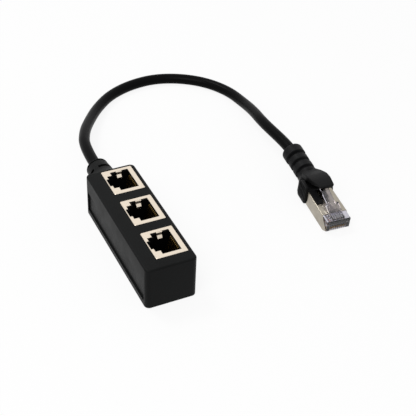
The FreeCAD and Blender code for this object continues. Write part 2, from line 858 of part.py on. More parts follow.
def strain_relief():
    """The bell: a smooth flare with a collar in the housing's wall, a part slot and a grooved lip."""
    bore = CORD_RADIUS + CORD_FIT
    collar = [(HALF_L - WALL, BELL_COLLAR_RADIUS), (HALF_L + 1.0, BELL_COLLAR_RADIUS)]
    hollow = [
        (HALF_L - WALL - 1, BELL_BORE_FLARE_RADIUS),
        (HALF_L + BELL_FLARE_END, BELL_BORE_FLARE_RADIUS),
        (JACKET_END_Y, bore),
        (BELL_MOUTH_Y + 1, bore),
    ]
    bell = joined([turned(stations, CORD_HEIGHT) for stations in (bell_flare(), collar)])
    slot_y = HALF_L + BELL_WAIST_AT
    slot = slot_ring(
        BELL_BASE_RADIUS,
        BELL_SLOT_FLOOR,
        slot_y,
        slot_y + BELL_SLOT_WIDTH,
        CORD_HEIGHT,
    )
    reach = BELL_BASE_RADIUS
    web = box(-reach, reach, HALF_L, BELL_MOUTH_Y, CORD_HEIGHT - 1.4, CORD_HEIGHT + 1.4)
    web.rotate(V(0, 0, CORD_HEIGHT), V(0, 1, 0), -BELL_SLOT_WEB)
    return bell.cut([round_hole(hollow, CORD_HEIGHT), slot.cut(web)])


def wire_circle(k):
    """Where wire k of the bundle lies inside the lead, as an (across, along) pair."""
    column = k // 2
    side = 1 if (k % 2 == 0) == (k < WIRE_COUNT / 2) else -1
    angle = math.radians(157.5 - 45 * column)
    return WIRE_CIRCLE * math.cos(angle), side * WIRE_CIRCLE * math.sin(angle)


def housing_wires():
    """Eight insulated wires from the lead's end, through the bell, to the back of the board."""
    wires = []
    in_notch_x = (BOARD_BACK_X + BOARD_FACE_X) / 2
    in_notch_y = BOARD_FAR_Y - BOARD_NOTCH_DEPTH + WIRE_DIAMETER + WIRE_CORNER_DROP
    on_board = BOARD_BACK_X - WIRE_DIAMETER / 2
    for k in range(WIRE_COUNT):
        across, along = wire_circle(k)
        z = CORD_HEIGHT + WIRE_COLUMN_PITCH * (k - (WIRE_COUNT - 1) / 2)
        points = [
            V(along, JACKET_END_Y, CORD_HEIGHT + across),
            V(along, JACKET_END_Y - 2.0, CORD_HEIGHT + across),
            V(in_notch_x, HALF_L + 1.6, z),
            V(in_notch_x, in_notch_y, z),
            V(on_board, in_notch_y - WIRE_CORNER_DROP, z),
            V(on_board, in_notch_y - WIRE_CORNER_DROP - WIRE_PAD_LENGTH, z),
        ]
        wires.append(wire_run(points, WIRE_DIAMETER))
    return group(wires)


def plug_placement():
    """How the plug lies: tipped nose down, turned a little, and set on the floor."""
    tip = FreeCAD.Rotation(V(1, 0, 0), PLUG_PITCH)
    turn = FreeCAD.Rotation(V(0, 0, 1), PLUG_YAW)
    drop = -NOSE_CHAMFER_LENGTH * math.sin(math.radians(PLUG_PITCH))
    return FreeCAD.Placement(V(PLUG_X, PLUG_Y, drop), turn.multiply(tip))


def at_plug(solid):
    copy = solid.copy()
    copy.Placement = plug_placement().multiply(copy.Placement)
    return copy


def cable_jacket():
    """The lead's jacket: its free route, and the straight ends held in the bell and the boot."""
    place = plug_placement()
    start = V(0, BELL_MOUTH_Y - CORD_ENTRY_DEPTH, CORD_HEIGHT)
    end = place.multVec(V(0, BOOT_END - 2 * CORD_ENTRY_DEPTH, BOOT_AXIS_Z))
    ahead = place.Rotation.multVec(V(0, 1, 0))
    route = [start, start + V(0, CORD_FIRST_RUN, 0)]
    route += [V(*point) for point in CORD_ROUTE]
    route += [end + ahead * CORD_LAST_RUN, end]
    free, radii, length = tube(route, CORD_DIAMETER)
    held_here = cylinder_y(CORD_RADIUS, JACKET_END_Y, start.y, 0, CORD_HEIGHT)
    boot_stretch = BOOT_END - 2 * CORD_ENTRY_DEPTH - JACKET_PLUG_END_Y
    held_there = at_plug(
        cylinder_y(
            CORD_RADIUS, JACKET_PLUG_END_Y, JACKET_PLUG_END_Y + boot_stretch, 0, BOOT_AXIS_Z
        )
    )
    section_area = Part.Face(round_section(V(), V(0, 1, 0), CORD_DIAMETER, CORD_SIDES)).Area
    print("cord radii", [round(r, 1) for r in radii])
    whole = length + start.y - JACKET_END_Y + boot_stretch
    print("cord free length", round(length, 1), "with held ends", round(whole, 1))
    print("cord volume share", round(free.Volume / (section_area * length), 4))
    return joined([held_here, free, held_there])


def latch():
    """The lever that springs up from the nose, wide to its shoulders and narrow behind them."""
    slope = LATCH_RISE / (LATCH_LENGTH - LATCH_ROOT_START)

    def top(y):
        return BODY_TOP + LATCH_THICKNESS * 0.45 + slope * (y - LATCH_ROOT_START)

    def under(y):
        return top(y) - LATCH_THICKNESS

    root_back = LATCH_ROOT_START + 2.2
    wide = [
        (LATCH_ROOT_START, BODY_TOP - 0.2),
        (LATCH_ROOT_START, top(LATCH_ROOT_START)),
        (LATCH_ROOT_START + 0.5, top(LATCH_ROOT_START + 0.5) + 0.15),
        (LATCH_SHOULDER, top(LATCH_SHOULDER)),
        (LATCH_SHOULDER, under(LATCH_SHOULDER)),
        (root_back + 1.4, under(root_back + 1.4)),
        (root_back, BODY_TOP - 0.2),
    ]
    narrow = [
        (LATCH_SHOULDER - 1, top(LATCH_SHOULDER - 1)),
        (LATCH_LENGTH - 0.4, top(LATCH_LENGTH - 0.4)),
        (LATCH_LENGTH, top(LATCH_LENGTH) - 0.35),
        (LATCH_LENGTH, under(LATCH_LENGTH)),
        (LATCH_SHOULDER - 1, under(LATCH_SHOULDER - 1)),
    ]
    lug = [
        (LATCH_SHOULDER, top(LATCH_SHOULDER) - 0.2),
        (LATCH_SHOULDER, top(LATCH_SHOULDER) + LUG_HEIGHT),
        (LATCH_SHOULDER - 0.5, top(LATCH_SHOULDER - 0.5) + LUG_HEIGHT),
        (LATCH_SHOULDER - LUG_LENGTH - 1.2, top(LATCH_SHOULDER - LUG_LENGTH - 1.2) - 0.1),
    ]
    wide_half, narrow_half = LATCH_ROOT_WIDTH / 2, LATCH_TAIL_WIDTH / 2
    return [
        prism_x(wide, -wide_half, wide_half),
        prism_x(narrow, -narrow_half, narrow_half),
        prism_x(lug, -wide_half, -narrow_half),
        prism_x(lug, narrow_half, wide_half),
    ]


def plug_body():
    """The clear body: nose, blade slots, wire holes, rear bay and the latch."""
    half = BODY_WIDTH / 2
    raised = PLUG_SHEET + PLUG_FIT
    profile = [
        (0, NOSE_CHAMFER_HEIGHT),
        (NOSE_CHAMFER_LENGTH, 0),
        (BELLY_PLATE_START, 0),
        (BELLY_PLATE_START, raised),
        (PLUG_LENGTH, raised),
        (PLUG_LENGTH, BODY_TOP),
        (0.4, BODY_TOP),
        (0, BODY_TOP - 0.4),
    ]
    body = joined([prism_x(profile, -half, half)] + latch())
    rear_bay = box(
        -REAR_BAY_WIDTH / 2,
        REAR_BAY_WIDTH / 2,
        REAR_BAY_START,
        PLUG_LENGTH + 1,
        REAR_BAY_FLOOR,
        BODY_TOP - REAR_BAY_ROOF,
    )
    cuts = [rear_bay]
    for x in contact_offsets():
        bore = WIRE_DIAMETER + 2 * WIRE_HOLE_FIT
        cuts.append(
            round_bar(V(x, WIRE_STOP, WIRE_LEVEL), V(x, REAR_BAY_START + 1, WIRE_LEVEL), bore, WIRE_SIDES)
        )
        cuts.append(
            box(
                x - BLADE_SLOT_WIDTH / 2,
                x + BLADE_SLOT_WIDTH / 2,
                -1,
                BLADE_SLOT_LENGTH,
                -1,
                WIRE_LEVEL + BLADE_TINE,
            )
        )
    return body.cut(cuts)


def blade_profile():
    """A contact blade in (y, z): a rounded contact edge below and two tines above."""
    low = BLADE_RECESS
    tine = WIRE_LEVEL + BLADE_TINE - 0.1
    middle = (BLADE_START + BLADE_END) / 2
    return [
        (BLADE_START, low + 0.5),
        (BLADE_START + 0.5, low),
        (BLADE_END - 0.3, low),
        (BLADE_END, low + 0.3),
        (BLADE_END, BLADE_BACK),
        (middle + 1.3, BLADE_BACK),
        (middle + 1.0, tine),
        (middle + 0.7, BLADE_BACK + 0.3),
        (middle - 0.7, BLADE_BACK + 0.3),
        (middle - 1.0, tine),
        (middle - 1.3, BLADE_BACK),
        (BLADE_START, BLADE_BACK),
    ]


def blades():
    half = BLADE_THICKNESS / 2
    return [prism_x(blade_profile(), x - half, x + half) for x in contact_offsets()]


def plug_contacts():
    return group(blades())


def plug_wires():
    """Eight insulated wires from the lead's end into the nose, pierced by the blades."""
    wires = []
    for k, x in enumerate(contact_offsets()):
        across, along = wire_circle(k)
        end_z = BOOT_AXIS_Z + along
        points = [
            V(x, WIRE_STOP + 0.1, WIRE_LEVEL),
            V(x, REAR_BAY_START + 2.0, WIRE_LEVEL),
            V(across + 0.3 * (x - across), PLUG_LENGTH - 1.0, WIRE_LEVEL + 0.55 * (end_z - WIRE_LEVEL)),
            V(across, JACKET_PLUG_END_Y - 0.6, end_z),
            V(across, JACKET_PLUG_END_Y, end_z),
        ]
        wires.append(wire_run(points, WIRE_DIAMETER).cut(blades()[k]))
    return group(wires)


def plug_shield():
    """The folded shield: roof, two cheeks with a slanted nose edge, belly plate and crimp."""
    half = PLUG_WIDTH / 2
    inner = half - PLUG_SHEET
    roof = box(-half, half, NOSE_LENGTH, SHIELD_LENGTH, PLUG_TOP - PLUG_SHEET, PLUG_TOP)
    cheek = [
        (NOSE_LENGTH, PLUG_TOP),
        (SHIELD_NOSE_Y, SHIELD_NOSE_Z),
        (SHIELD_NOSE_Y, NOSE_CHAMFER_HEIGHT),
        (NOSE_CHAMFER_LENGTH, 0),
        (SHIELD_LENGTH, 0),
        (SHIELD_LENGTH, PLUG_TOP),
    ]
    cheeks = [prism_x(cheek, -half, -inner), prism_x(cheek, inner, half)]
    belly = box(-half, half, BELLY_PLATE_START + PLUG_FIT, SHIELD_LENGTH, 0, PLUG_SHEET)
    crimp_inner = CORD_RADIUS + CORD_FIT
    crimp_outer = crimp_inner + CRIMP_THICKNESS
    collar_y = JACKET_PLUG_END_Y + 0.6
    collar = cylinder_y(crimp_outer, collar_y, collar_y + CRIMP_LENGTH, 0, BOOT_AXIS_Z)
    collar = collar.cut(
        cylinder_y(crimp_inner, collar_y - 1, collar_y + CRIMP_LENGTH + 1, 0, BOOT_AXIS_Z)
    )
    strap_z = PLUG_TOP - PLUG_SHEET / 2
    strap_end_z = BOOT_AXIS_Z + (crimp_inner + crimp_outer) / 2
    strap = flat_strip(
        [
            (SHIELD_LENGTH - 1.0, strap_z),
            (SHIELD_LENGTH + 0.6, strap_z),
            (JACKET_PLUG_END_Y - 0.9, strap_end_z),
            (collar_y + CRIMP_LENGTH / 2, strap_end_z),
        ],
        PLUG_SHEET,
        0.3,
        lambda u, v: V(-CRIMP_STRAP_WIDTH / 2, u, v),
        V(CRIMP_STRAP_WIDTH, 0, 0),
    )
    return joined([roof, belly] + cheeks + [collar, strap])


def rounded_section(y, half_width, low, high, corner):
    """A closed section across the boot: a rectangle whose corners are rounded by short chords."""
    right, top = half_width - corner, high - corner
    left, bottom = -right, low + corner
    points = []
    for quarter, (x, z) in enumerate([(right, top), (left, top), (left, bottom), (right, bottom)]):
        for k in range(CORNER_CHORDS + 1):
            angle = math.pi / 2 * (quarter + k / CORNER_CHORDS)
            points.append(V(x + corner * math.cos(angle), y, z + corner * math.sin(angle)))
    return points


def boot_body():
    """The body of the boot: a rounded block that narrows smoothly to the round tail."""
    low = -BOOT_BELLY
    high = PLUG_TOP + BOOT_ROOF
    wide = BOOT_WIDTH / 2
    neck = BOOT_NECK_RADIUS
    end = (neck + 0.05) / math.cos(math.pi / 4 / CORNER_CHORDS)
    span = BOOT_NECK_START - BOOT_BLOCK_END
    sections = [
        rounded_section(BOOT_START, wide, low, high, 1.0),
        rounded_section(BOOT_BLOCK_END, wide, low, high, 1.0),
        rounded_section(BOOT_BLOCK_END + 0.3 * span, wide - 0.6, low + 0.1, high + 0.9, 1.9),
        rounded_section(BOOT_BLOCK_END + 0.7 * span, neck + 0.5, low + 0.6, high + 2.0, 3.6),
        rounded_section(BOOT_NECK_START, end, BOOT_AXIS_Z - end, BOOT_AXIS_Z + end, neck - 0.1),
    ]
    return skinned(sections)


def boot_hood():
    """The hood over the latch: a smooth crown whose skirts deepen towards the tail."""
    crown = HOOD_UNDERSIDE + HOOD_THICKNESS
    front, rear = HOOD_FRONT_WIDTH / 2, HOOD_REAR_WIDTH / 2
    neck = BOOT_NECK_RADIUS
    block = BOOT_BLOCK_END
    sections = [
        rounded_section(HOOD_START, front, crown - 1.3, crown - 0.2, 0.4),
        rounded_section(HOOD_START + 2.5, front + 0.4, crown - 2.0, crown, HOOD_EDGE_RADIUS),
        rounded_section(block - 4.5, rear - 0.3, crown - 3.4, crown + 0.05, HOOD_EDGE_RADIUS),
        rounded_section(block - 1.0, rear, crown - 5.0, crown - 0.3, 0.9),
        rounded_section(block + 3.0, rear - 0.4, crown - 6.6, crown - 1.5, 1.4),
        rounded_section(
            BOOT_NECK_START + 0.4, neck - 1.6, BOOT_AXIS_Z, BOOT_AXIS_Z + neck - 0.25, 2.2
        ),
    ]
    hood = skinned(sections)
    room = LATCH_TAIL_WIDTH / 2 + 1.2
    under = box(-room, room, HOOD_START - 1, block - 4.0, PLUG_TOP + 0.8, HOOD_UNDERSIDE)
    return hood.cut(under)


def boot_wings():
    """Two side walls that stand beside the latch, with grip ridges outside."""
    wing = [
        (BOOT_START, -BOOT_BELLY + WING_LIFT),
        (BOOT_START - 0.1, WING_FRONT_TOP - 0.6),
        (BOOT_START + 0.6, WING_FRONT_TOP),
        (BOOT_BLOCK_END - 1.2, WING_REAR_TOP),
        (BOOT_BLOCK_END + 1.2, WING_REAR_TOP - 3.2),
        (BOOT_BLOCK_END + 0.8, 1.0),
    ]
    outer = BOOT_WIDTH / 2
    inner = outer - WING_THICKNESS
    pieces = [prism_x(wing, -outer, -inner), prism_x(wing, inner, outer)]
    for k in range(GRIP_COUNT):
        y = BOOT_START + 0.8 + GRIP_PITCH * k
        for side in (-1, 1):
            x0, x1 = sorted((side * (outer - 0.3), side * (outer + GRIP_HEIGHT)))
            pieces.append(box(x0, x1, y - GRIP_WIDTH / 2, y + GRIP_WIDTH / 2, 1.0, WING_FRONT_TOP - 1.4))
    return pieces


def boot_tail():
    """The round tail with its end ring, cut by grooves that leave two webs each."""
    axis = BOOT_AXIS_Z
    last_groove = RIB_GROOVE_FIRST + RIB_GROOVE_PITCH * (RIB_GROOVE_COUNT - 1)
    ring_start = last_groove + RIB_GROOVE_WIDTH / 2
    chamfer = 0.7
    tail = turned([(BOOT_NECK_START - 2.0, BOOT_NECK_RADIUS), (ring_start, BOOT_NECK_RADIUS)], axis)
    ring = turned(
        [
            (ring_start, BOOT_RING_RADIUS),
            (BOOT_END - chamfer, BOOT_RING_RADIUS),
            (BOOT_END, BOOT_RING_RADIUS - chamfer),
        ],
        axis,
    )
    tail = joined([tail, ring])
    for k in range(RIB_GROOVE_COUNT):
        y = RIB_GROOVE_FIRST + RIB_GROOVE_PITCH * k
        y0, y1 = y - RIB_GROOVE_WIDTH / 2, y + RIB_GROOVE_WIDTH / 2
        groove = slot_ring(BOOT_RING_RADIUS + 1, RIB_GROOVE_FLOOR, y0, y1, axis)
        half = RIB_WEB_WIDTH / 2
        web = box(-8, 8, y0 - 1, y1 + 1, axis - half, axis + half)
        tail = tail.cut(groove.cut(web))
    return tail


def plug_boot():
    """The soft boot in one piece, hollow for the plug's rear, the crimp and the lead."""
    flap = box(
        -FLAP_REACH,
        -LATCH_TAIL_WIDTH / 2 - FLAP_GAP,
        FLAP_START,
        BOOT_START + 0.5,
        PLUG_TOP + BOOT_FIT,
        PLUG_TOP + BOOT_FIT + FLAP_THICKNESS,
    )
    boot = joined([boot_body(), boot_hood(), boot_tail(), flap] + boot_wings())
    half = PLUG_WIDTH / 2 + BOOT_FIT
    pocket = box(
        -half,
        half,
        BOOT_START - 2,
        BOOT_START + BOOT_POCKET_DEPTH,
        -BOOT_FIT,
        PLUG_TOP + BOOT_FIT,
    )
    room_radius = CORD_RADIUS + CORD_FIT + CRIMP_THICKNESS + BOOT_FIT
    crimp_end = JACKET_PLUG_END_Y + 0.6 + CRIMP_LENGTH + 0.2
    room = round_hole([(BOOT_START, room_radius), (crimp_end, room_radius)], BOOT_AXIS_Z)
    bore_radius = CORD_RADIUS + CORD_FIT
    bore = round_hole([(BOOT_START, bore_radius), (BOOT_END + 1, bore_radius)], BOOT_AXIS_Z)
    return boot.cut([pocket, room, bore])


def build():
    """Every node of the part, by name."""
    nodes = {
        "housing_shell": housing_shell(),
        "base_cover": base_cover(),
        "circuit_board": circuit_board(),
        "strain_relief": strain_relief(),
        "housing_wires": housing_wires(),
        "cable_jacket": cable_jacket(),
    }
    pieces = {
        "shield": jack_shield(),
        "insulator": jack_insulator(),
        "contacts": jack_contacts(),
    }
    for number, y in enumerate(jack_centres(), 1):
        for name, solid in pieces.items():
            nodes[f"jack_{number}_{name}"] = moved(solid, y)
    nodes["plug_body"] = at_plug(plug_body())
    nodes["plug_shield"] = at_plug(plug_shield())
    nodes["plug_contacts"] = at_plug(plug_contacts())
    nodes["plug_wires"] = at_plug(plug_wires())
    nodes["plug_boot"] = at_plug(plug_boot())
    return nodes


os.makedirs("parts", exist_ok=True)
for name, shape in build().items():
    print(name, shape.isValid(), len(shape.Solids), round(shape.Volume, 1))
    shape.exportStep(f"parts/{name}.step")
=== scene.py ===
"""A three-way network splitter: a long black housing with three shielded sockets in its top, and a
short lead that loops round on the floor to a clear, shielded plug with a soft black boot."""

import bmesh
import bpy
import numpy as np
from mathutils import Matrix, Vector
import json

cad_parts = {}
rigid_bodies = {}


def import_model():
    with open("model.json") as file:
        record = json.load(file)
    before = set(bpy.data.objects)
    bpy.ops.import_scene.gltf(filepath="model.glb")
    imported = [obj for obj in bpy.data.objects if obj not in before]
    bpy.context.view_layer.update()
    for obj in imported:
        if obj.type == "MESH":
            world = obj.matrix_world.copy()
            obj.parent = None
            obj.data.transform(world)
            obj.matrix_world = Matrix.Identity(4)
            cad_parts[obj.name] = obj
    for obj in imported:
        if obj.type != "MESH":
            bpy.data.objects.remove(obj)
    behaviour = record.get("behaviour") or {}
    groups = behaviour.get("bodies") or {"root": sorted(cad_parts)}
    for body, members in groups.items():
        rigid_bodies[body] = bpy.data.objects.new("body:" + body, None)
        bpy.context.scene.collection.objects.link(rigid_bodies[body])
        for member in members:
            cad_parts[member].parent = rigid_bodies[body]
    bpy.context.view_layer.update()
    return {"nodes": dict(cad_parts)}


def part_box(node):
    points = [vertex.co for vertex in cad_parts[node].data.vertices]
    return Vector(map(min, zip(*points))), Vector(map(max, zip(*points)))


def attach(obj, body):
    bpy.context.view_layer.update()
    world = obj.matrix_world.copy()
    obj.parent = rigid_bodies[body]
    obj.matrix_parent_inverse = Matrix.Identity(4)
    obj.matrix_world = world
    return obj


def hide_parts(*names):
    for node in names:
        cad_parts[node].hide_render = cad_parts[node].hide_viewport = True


for leftover in list(bpy.data.objects):
    bpy.data.objects.remove(leftover)
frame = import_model()
MM = 0.001


# Camera
# It stands in front of the near end, a little to the left, and looks down on the socket faces.
# Its lens, place and turn were fitted to the housing's corners and the plug.
IMAGE_PX = 416
FOCAL_PX = 1021.5
SENSOR_WIDTH = 36.0
AZIMUTH, ELEVATION, ROLL = np.radians([-27.10, 38.38, 2.83])
CAMERA_PLACE = np.array([-122.62, -300.85, 281.07]) * MM

backward = np.array(
    [np.sin(AZIMUTH) * np.cos(ELEVATION), -np.cos(AZIMUTH) * np.cos(ELEVATION), np.sin(ELEVATION)]
)
level = np.array([np.cos(AZIMUTH), np.sin(AZIMUTH), 0.0])
upright = np.cross(backward, level)
rightward = np.cos(ROLL) * level + np.sin(ROLL) * upright
upward = np.cos(ROLL) * upright - np.sin(ROLL) * level

camera_data = bpy.data.cameras.new("camera")
camera_data.sensor_width = SENSOR_WIDTH
camera_data.lens = SENSOR_WIDTH * FOCAL_PX / IMAGE_PX
camera_data.clip_start = 0.01
camera = bpy.data.objects.new("camera", camera_data)
bpy.context.scene.collection.objects.link(camera)
turn = np.eye(4)
turn[:3, 0], turn[:3, 1], turn[:3, 2], turn[:3, 3] = rightward, upward, backward, CAMERA_PLACE
camera.matrix_world = Matrix(turn.tolist())
bpy.context.scene.camera = camera


# Lead
# A round lead of 5.2 mm with a black jacket of soft PVC, extruded, so it is smooth with a satin
# shine. It leaves the bell level, comes down to the floor, loops round and rises into the boot.
LEAD_DIAMETER = 5.2
PLASTIC_PATCH = 7.0
LEAD_POINTS = [
    (0.0, 48.3, 9.9),
    (0.0, 66.0, 9.9),
    (5.1, 80.5, 8.1),
    (12.8, 93.7, 5.1),
    (20.6, 104.7, 3.2),
    (30.8, 114.2, 2.6),
    (43.5, 119.5, 2.6),
    (57.6, 120.7, 2.6),
    (70.7, 116.1, 2.6),
    (81.6, 107.4, 2.6),
    (88.6, 95.4, 2.6),
    (90.1, 81.7, 3.6),
    (88.8, 68.4, 6.8),
    (86.0, 53.2, 10.0),
    (87.35, 30.9, 10.64),
    (86.99, 24.95, 9.96),
]


def linear(hex_colour):
    """The linear RGBA of an sRGB hex colour: the power curve above its short straight foot."""
    srgb = np.array([int(hex_colour[i : i + 2], 16) for i in (0, 2, 4)]) / 255
    values = np.where(srgb <= 0.04045, srgb / 12.92, ((srgb + 0.055) / 1.055) ** 2.4)
    return (*values.tolist(), 1.0)


def add(tree, kind, settings=None, links=None):
    """A new node: settings go to its inputs or properties, links are input: (node, output)."""
    node = tree.nodes.new(kind)
    for key, value in (settings or {}).items():
        if isinstance(key, int) or key in node.inputs:
            node.inputs[key].default_value = value
        else:
            setattr(node, key, value)
    for key, (source, output) in (links or {}).items():
        tree.links.new(source.outputs[output], node.inputs[key])
    return node


def moulded(name, dark, light, roughness, gloss, grain, relief):
    """A plastic whose colour wanders from dark to light over patches 7 mm wide, with a fine
    grain of the given size and depth in millimetres, and a gloss from 0 to 1."""
    material = bpy.data.materials.new(name)
    material.use_nodes = True
    tree = material.node_tree
    tree.nodes.clear()
    place = add(tree, "ShaderNodeTexCoord")
    clouds = add(
        tree,
        "ShaderNodeTexNoise",
        {"Scale": 1 / (PLASTIC_PATCH * MM), "Detail": 3.0, "Roughness": 0.6},
        {"Vector": (place, "Object")},
    )
    colour = add(
        tree,
        "ShaderNodeMix",
        {"data_type": "RGBA", 6: linear(dark), 7: linear(light)},
        {0: (clouds, "Fac")},
    )
    sheen = add(
        tree,
        "ShaderNodeMapRange",
        {"From Min": 0.3, "From Max": 0.7, "To Min": roughness - 0.04, "To Max": roughness + 0.04},
        {"Value": (clouds, "Fac")},
    )
    pits = add(
        tree,
        "ShaderNodeTexNoise",
        {"Scale": 1 / (grain * MM), "Detail": 2.0},
        {"Vector": (place, "Object")},
    )
    bump = add(
        tree,
        "ShaderNodeBump",
        {"Strength": 0.5, "Distance": relief * MM},
        {"Height": (pits, "Fac")},
    )
    surface = add(
        tree,
        "ShaderNodeBsdfPrincipled",
        {"Specular IOR Level": gloss},
        {
            "Base Color": (colour, 2),
            "Roughness": (sheen, "Result"),
            "Normal": (bump, "Normal"),
        },
    )
    add(tree, "ShaderNodeOutputMaterial", links={"Surface": (surface, "BSDF")})
    return material


# Extruded soft PVC: the die leaves it smooth, so the eye sees a soft line of light along it.
jacket_pvc = moulded("extruded_black_pvc", "060606", "09090a", 0.32, 0.04, 0.6, 0.01)

lead_curve = bpy.data.curves.new("lead", "CURVE")
lead_curve.dimensions = "3D"
lead_curve.resolution_u = 10
lead_curve.bevel_depth = LEAD_DIAMETER / 2 * MM
lead_curve.bevel_resolution = 8
lead_line = lead_curve.splines.new("NURBS")
lead_line.points.add(len(LEAD_POINTS) - 1)
lead_places = np.ones((len(LEAD_POINTS), 4))
lead_places[:, :3] = np.array(LEAD_POINTS) * MM
lead_line.points.foreach_set("co", lead_places.ravel())
lead_line.order_u = 3
lead_line.use_endpoint_u = True
lead_curve.use_fill_caps = True
lead_curve.materials.append(jacket_pvc)
lead = bpy.data.objects.new("lead_jacket", lead_curve)
bpy.context.scene.collection.objects.link(lead)
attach(lead, "root")
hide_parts("cable_jacket")


# Housing
# The shell and its base cover are injection-moulded ABS, black with a fine satin texture. The
# shell's outer edges are rounded; the cover is pressed into a rebate round its foot.
HOUSING_EDGE = 0.12
EDGE_SEGMENTS = 2
CREASE_ANGLE = np.radians(32)
FLAT_ANGLE = np.radians(0.3)
SAME_PLACE = 2e-6


def dressed(node, name, material):
    """A copy of a node's mesh whose loose triangles share their corners again, with its flat
    faces dissolved into polygons and every edge blunter than the crease angle shaded smooth."""
    source = frame["nodes"][node].data
    places = np.empty(3 * len(source.vertices))
    source.vertices.foreach_get("co", places)
    corners = np.empty(len(source.loops), dtype=np.int64)
    source.loops.foreach_get("vertex_index", corners)
    unique, renumber = np.unique(
        np.round(places.reshape(-1, 3), 7), axis=0, return_inverse=True
    )
    mesh = bpy.data.meshes.new(name)
    mesh.from_pydata(unique.tolist(), [], renumber.ravel()[corners].reshape(-1, 3).tolist())
    shape = bmesh.new()
    shape.from_mesh(mesh)
    bmesh.ops.remove_doubles(shape, verts=shape.verts, dist=SAME_PLACE)
    bmesh.ops.dissolve_limit(
        shape, angle_limit=FLAT_ANGLE, verts=shape.verts, edges=shape.edges
    )
    for edge in shape.edges:
        edge.smooth = edge.calc_face_angle(0.0) < CREASE_ANGLE
    for face in shape.faces:
        face.smooth = True
    shape.to_mesh(mesh)
    shape.free()
    mesh.materials.append(material)
    piece = bpy.data.objects.new(name, mesh)
    bpy.context.scene.collection.objects.link(piece)
    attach(piece, "root")
    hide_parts(node)
    return piece


def soften(piece, width):
    """Rounds a piece's sharp edges by a width in millimetres, and keeps its flat faces flat."""
    bevel = piece.modifiers.new("edge", "BEVEL")
    bevel.width = width * MM
    bevel.segments = EDGE_SEGMENTS
    bevel.limit_method = "ANGLE"
    bevel.angle_limit = CREASE_ANGLE
    bevel.harden_normals = True


# Moulded ABS from a finely textured tool: satin black, a little lighter in faint patches.
housing_abs = moulded("moulded_black_abs", "0b0c0c", "121313", 0.44, 0.07, 0.35, 0.02)
soften(dressed("housing_shell", "housing", housing_abs), HOUSING_EDGE)
soften(dressed("base_cover", "base_cover_plate", housing_abs), HOUSING_EDGE)


# Sockets
# Each socket is a folded can of nickel-plated brass sheet round a black insulator of PBT. Ground
# springs fold in from two edges of the mouth, and eight gold-plated wires lie in the insulator.
PLATING_PATCH = 5.0
CAN_EDGE = 0.05
INSULATOR_EDGE = 0.08
MOUTH_HALF_WIDTH = 6.6
# Where a can's springs are: all their points lie within these sizes, and their faces are small.
SPRING_MIDDLE_X = 3.025
SPRING_HALF_WIDTH = 1.3
SPRING_SIDE_SLACK = 0.05
SPRING_LARGEST_REACH = 1.5
SPRING_TOP_DEPTH = 0.31
SPRING_END_DEPTH = 4.2
SPRING_END_SLACK = 0.3
SPRING_LARGEST_FACE = 30.0
# A spring's line as depths below the face and reaches into the mouth: the solid's, then the real.
SPRING_CAD_LINE = [(0.0, 0.15), (0.9, 0.35), (2.1, 0.9), (4.2, 0.0)]
SPRING_TRUE_LINE = [(0.0, 0.15), (0.3, 0.2), (1.6, 0.25), (2.7, 1.1), (3.1, 1.1), (4.2, 0.3)]
# A real spring narrows by this share of its width, down to this depth.
SPRING_TAPER = 0.2
SPRING_TAPER_DEPTH = 1.6


def plated(name, colour, shade, roughness, grain, waviness):
    """A plated metal whose colour wanders between two tones over patches 5 mm wide, with the
    waviness of rolled sheet, whose length and depth are the grain and waviness in millimetres."""
    material = bpy.data.materials.new(name)
    material.use_nodes = True
    tree = material.node_tree
    tree.nodes.clear()
    place = add(tree, "ShaderNodeTexCoord")
    clouds = add(
        tree,
        "ShaderNodeTexNoise",
        {"Scale": 1 / (PLATING_PATCH * MM), "Detail": 3.0, "Roughness": 0.6},
        {"Vector": (place, "Object")},
    )
    tone = add(
        tree,
        "ShaderNodeMix",
        {"data_type": "RGBA", 6: linear(colour), 7: linear(shade)},
        {0: (clouds, "Fac")},
    )
    gloss = add(
        tree,
        "ShaderNodeMapRange",
        {"From Min": 0.3, "From Max": 0.7, "To Min": roughness - 0.05, "To Max": roughness + 0.06},
        {"Value": (clouds, "Fac")},
    )
    waves = add(
        tree,
        "ShaderNodeTexNoise",
        {"Scale": 1 / (grain * MM), "Detail": 1.0},
        {"Vector": (place, "Object")},
    )
    bump = add(
        tree,
        "ShaderNodeBump",
        {"Strength": 0.6, "Distance": waviness * MM},
        {"Height": (waves, "Fac")},
    )
    surface = add(
        tree,
        "ShaderNodeBsdfPrincipled",
        {"Metallic": 1.0},
        {"Base Color": (tone, 2), "Roughness": (gloss, "Result"), "Normal": (bump, "Normal")},
    )
    add(tree, "ShaderNodeOutputMaterial", links={"Surface": (surface, "BSDF")})
    return material


# Nickel plate on brass sheet: a warm white metal, satin where it was rolled. Its colour is
# painted lighter than the metal's own: a painted reflection of a lamp on the can faces.
can_nickel_painted_reflection = plated("nickel_plated_brass_painted_reflection", "ebdfce", "dccfbd", 0.34, 3.0, 0.05)
# Glass-filled PBT: dead black, with a dull skin.
insulator_pbt = moulded("moulded_black_pbt", "040404", "070707", 0.55, 0.05, 0.30, 0.02)
# A thin flash of gold over phosphor bronze wire, painted a dull, brownish yellow: painted
# shade for the dark inside the socket's bay.
contact_gold_painted_shade = plated("gold_plated_bronze_painted_shade", "6e5930", "524120", 0.34, 1.0, 0.01)


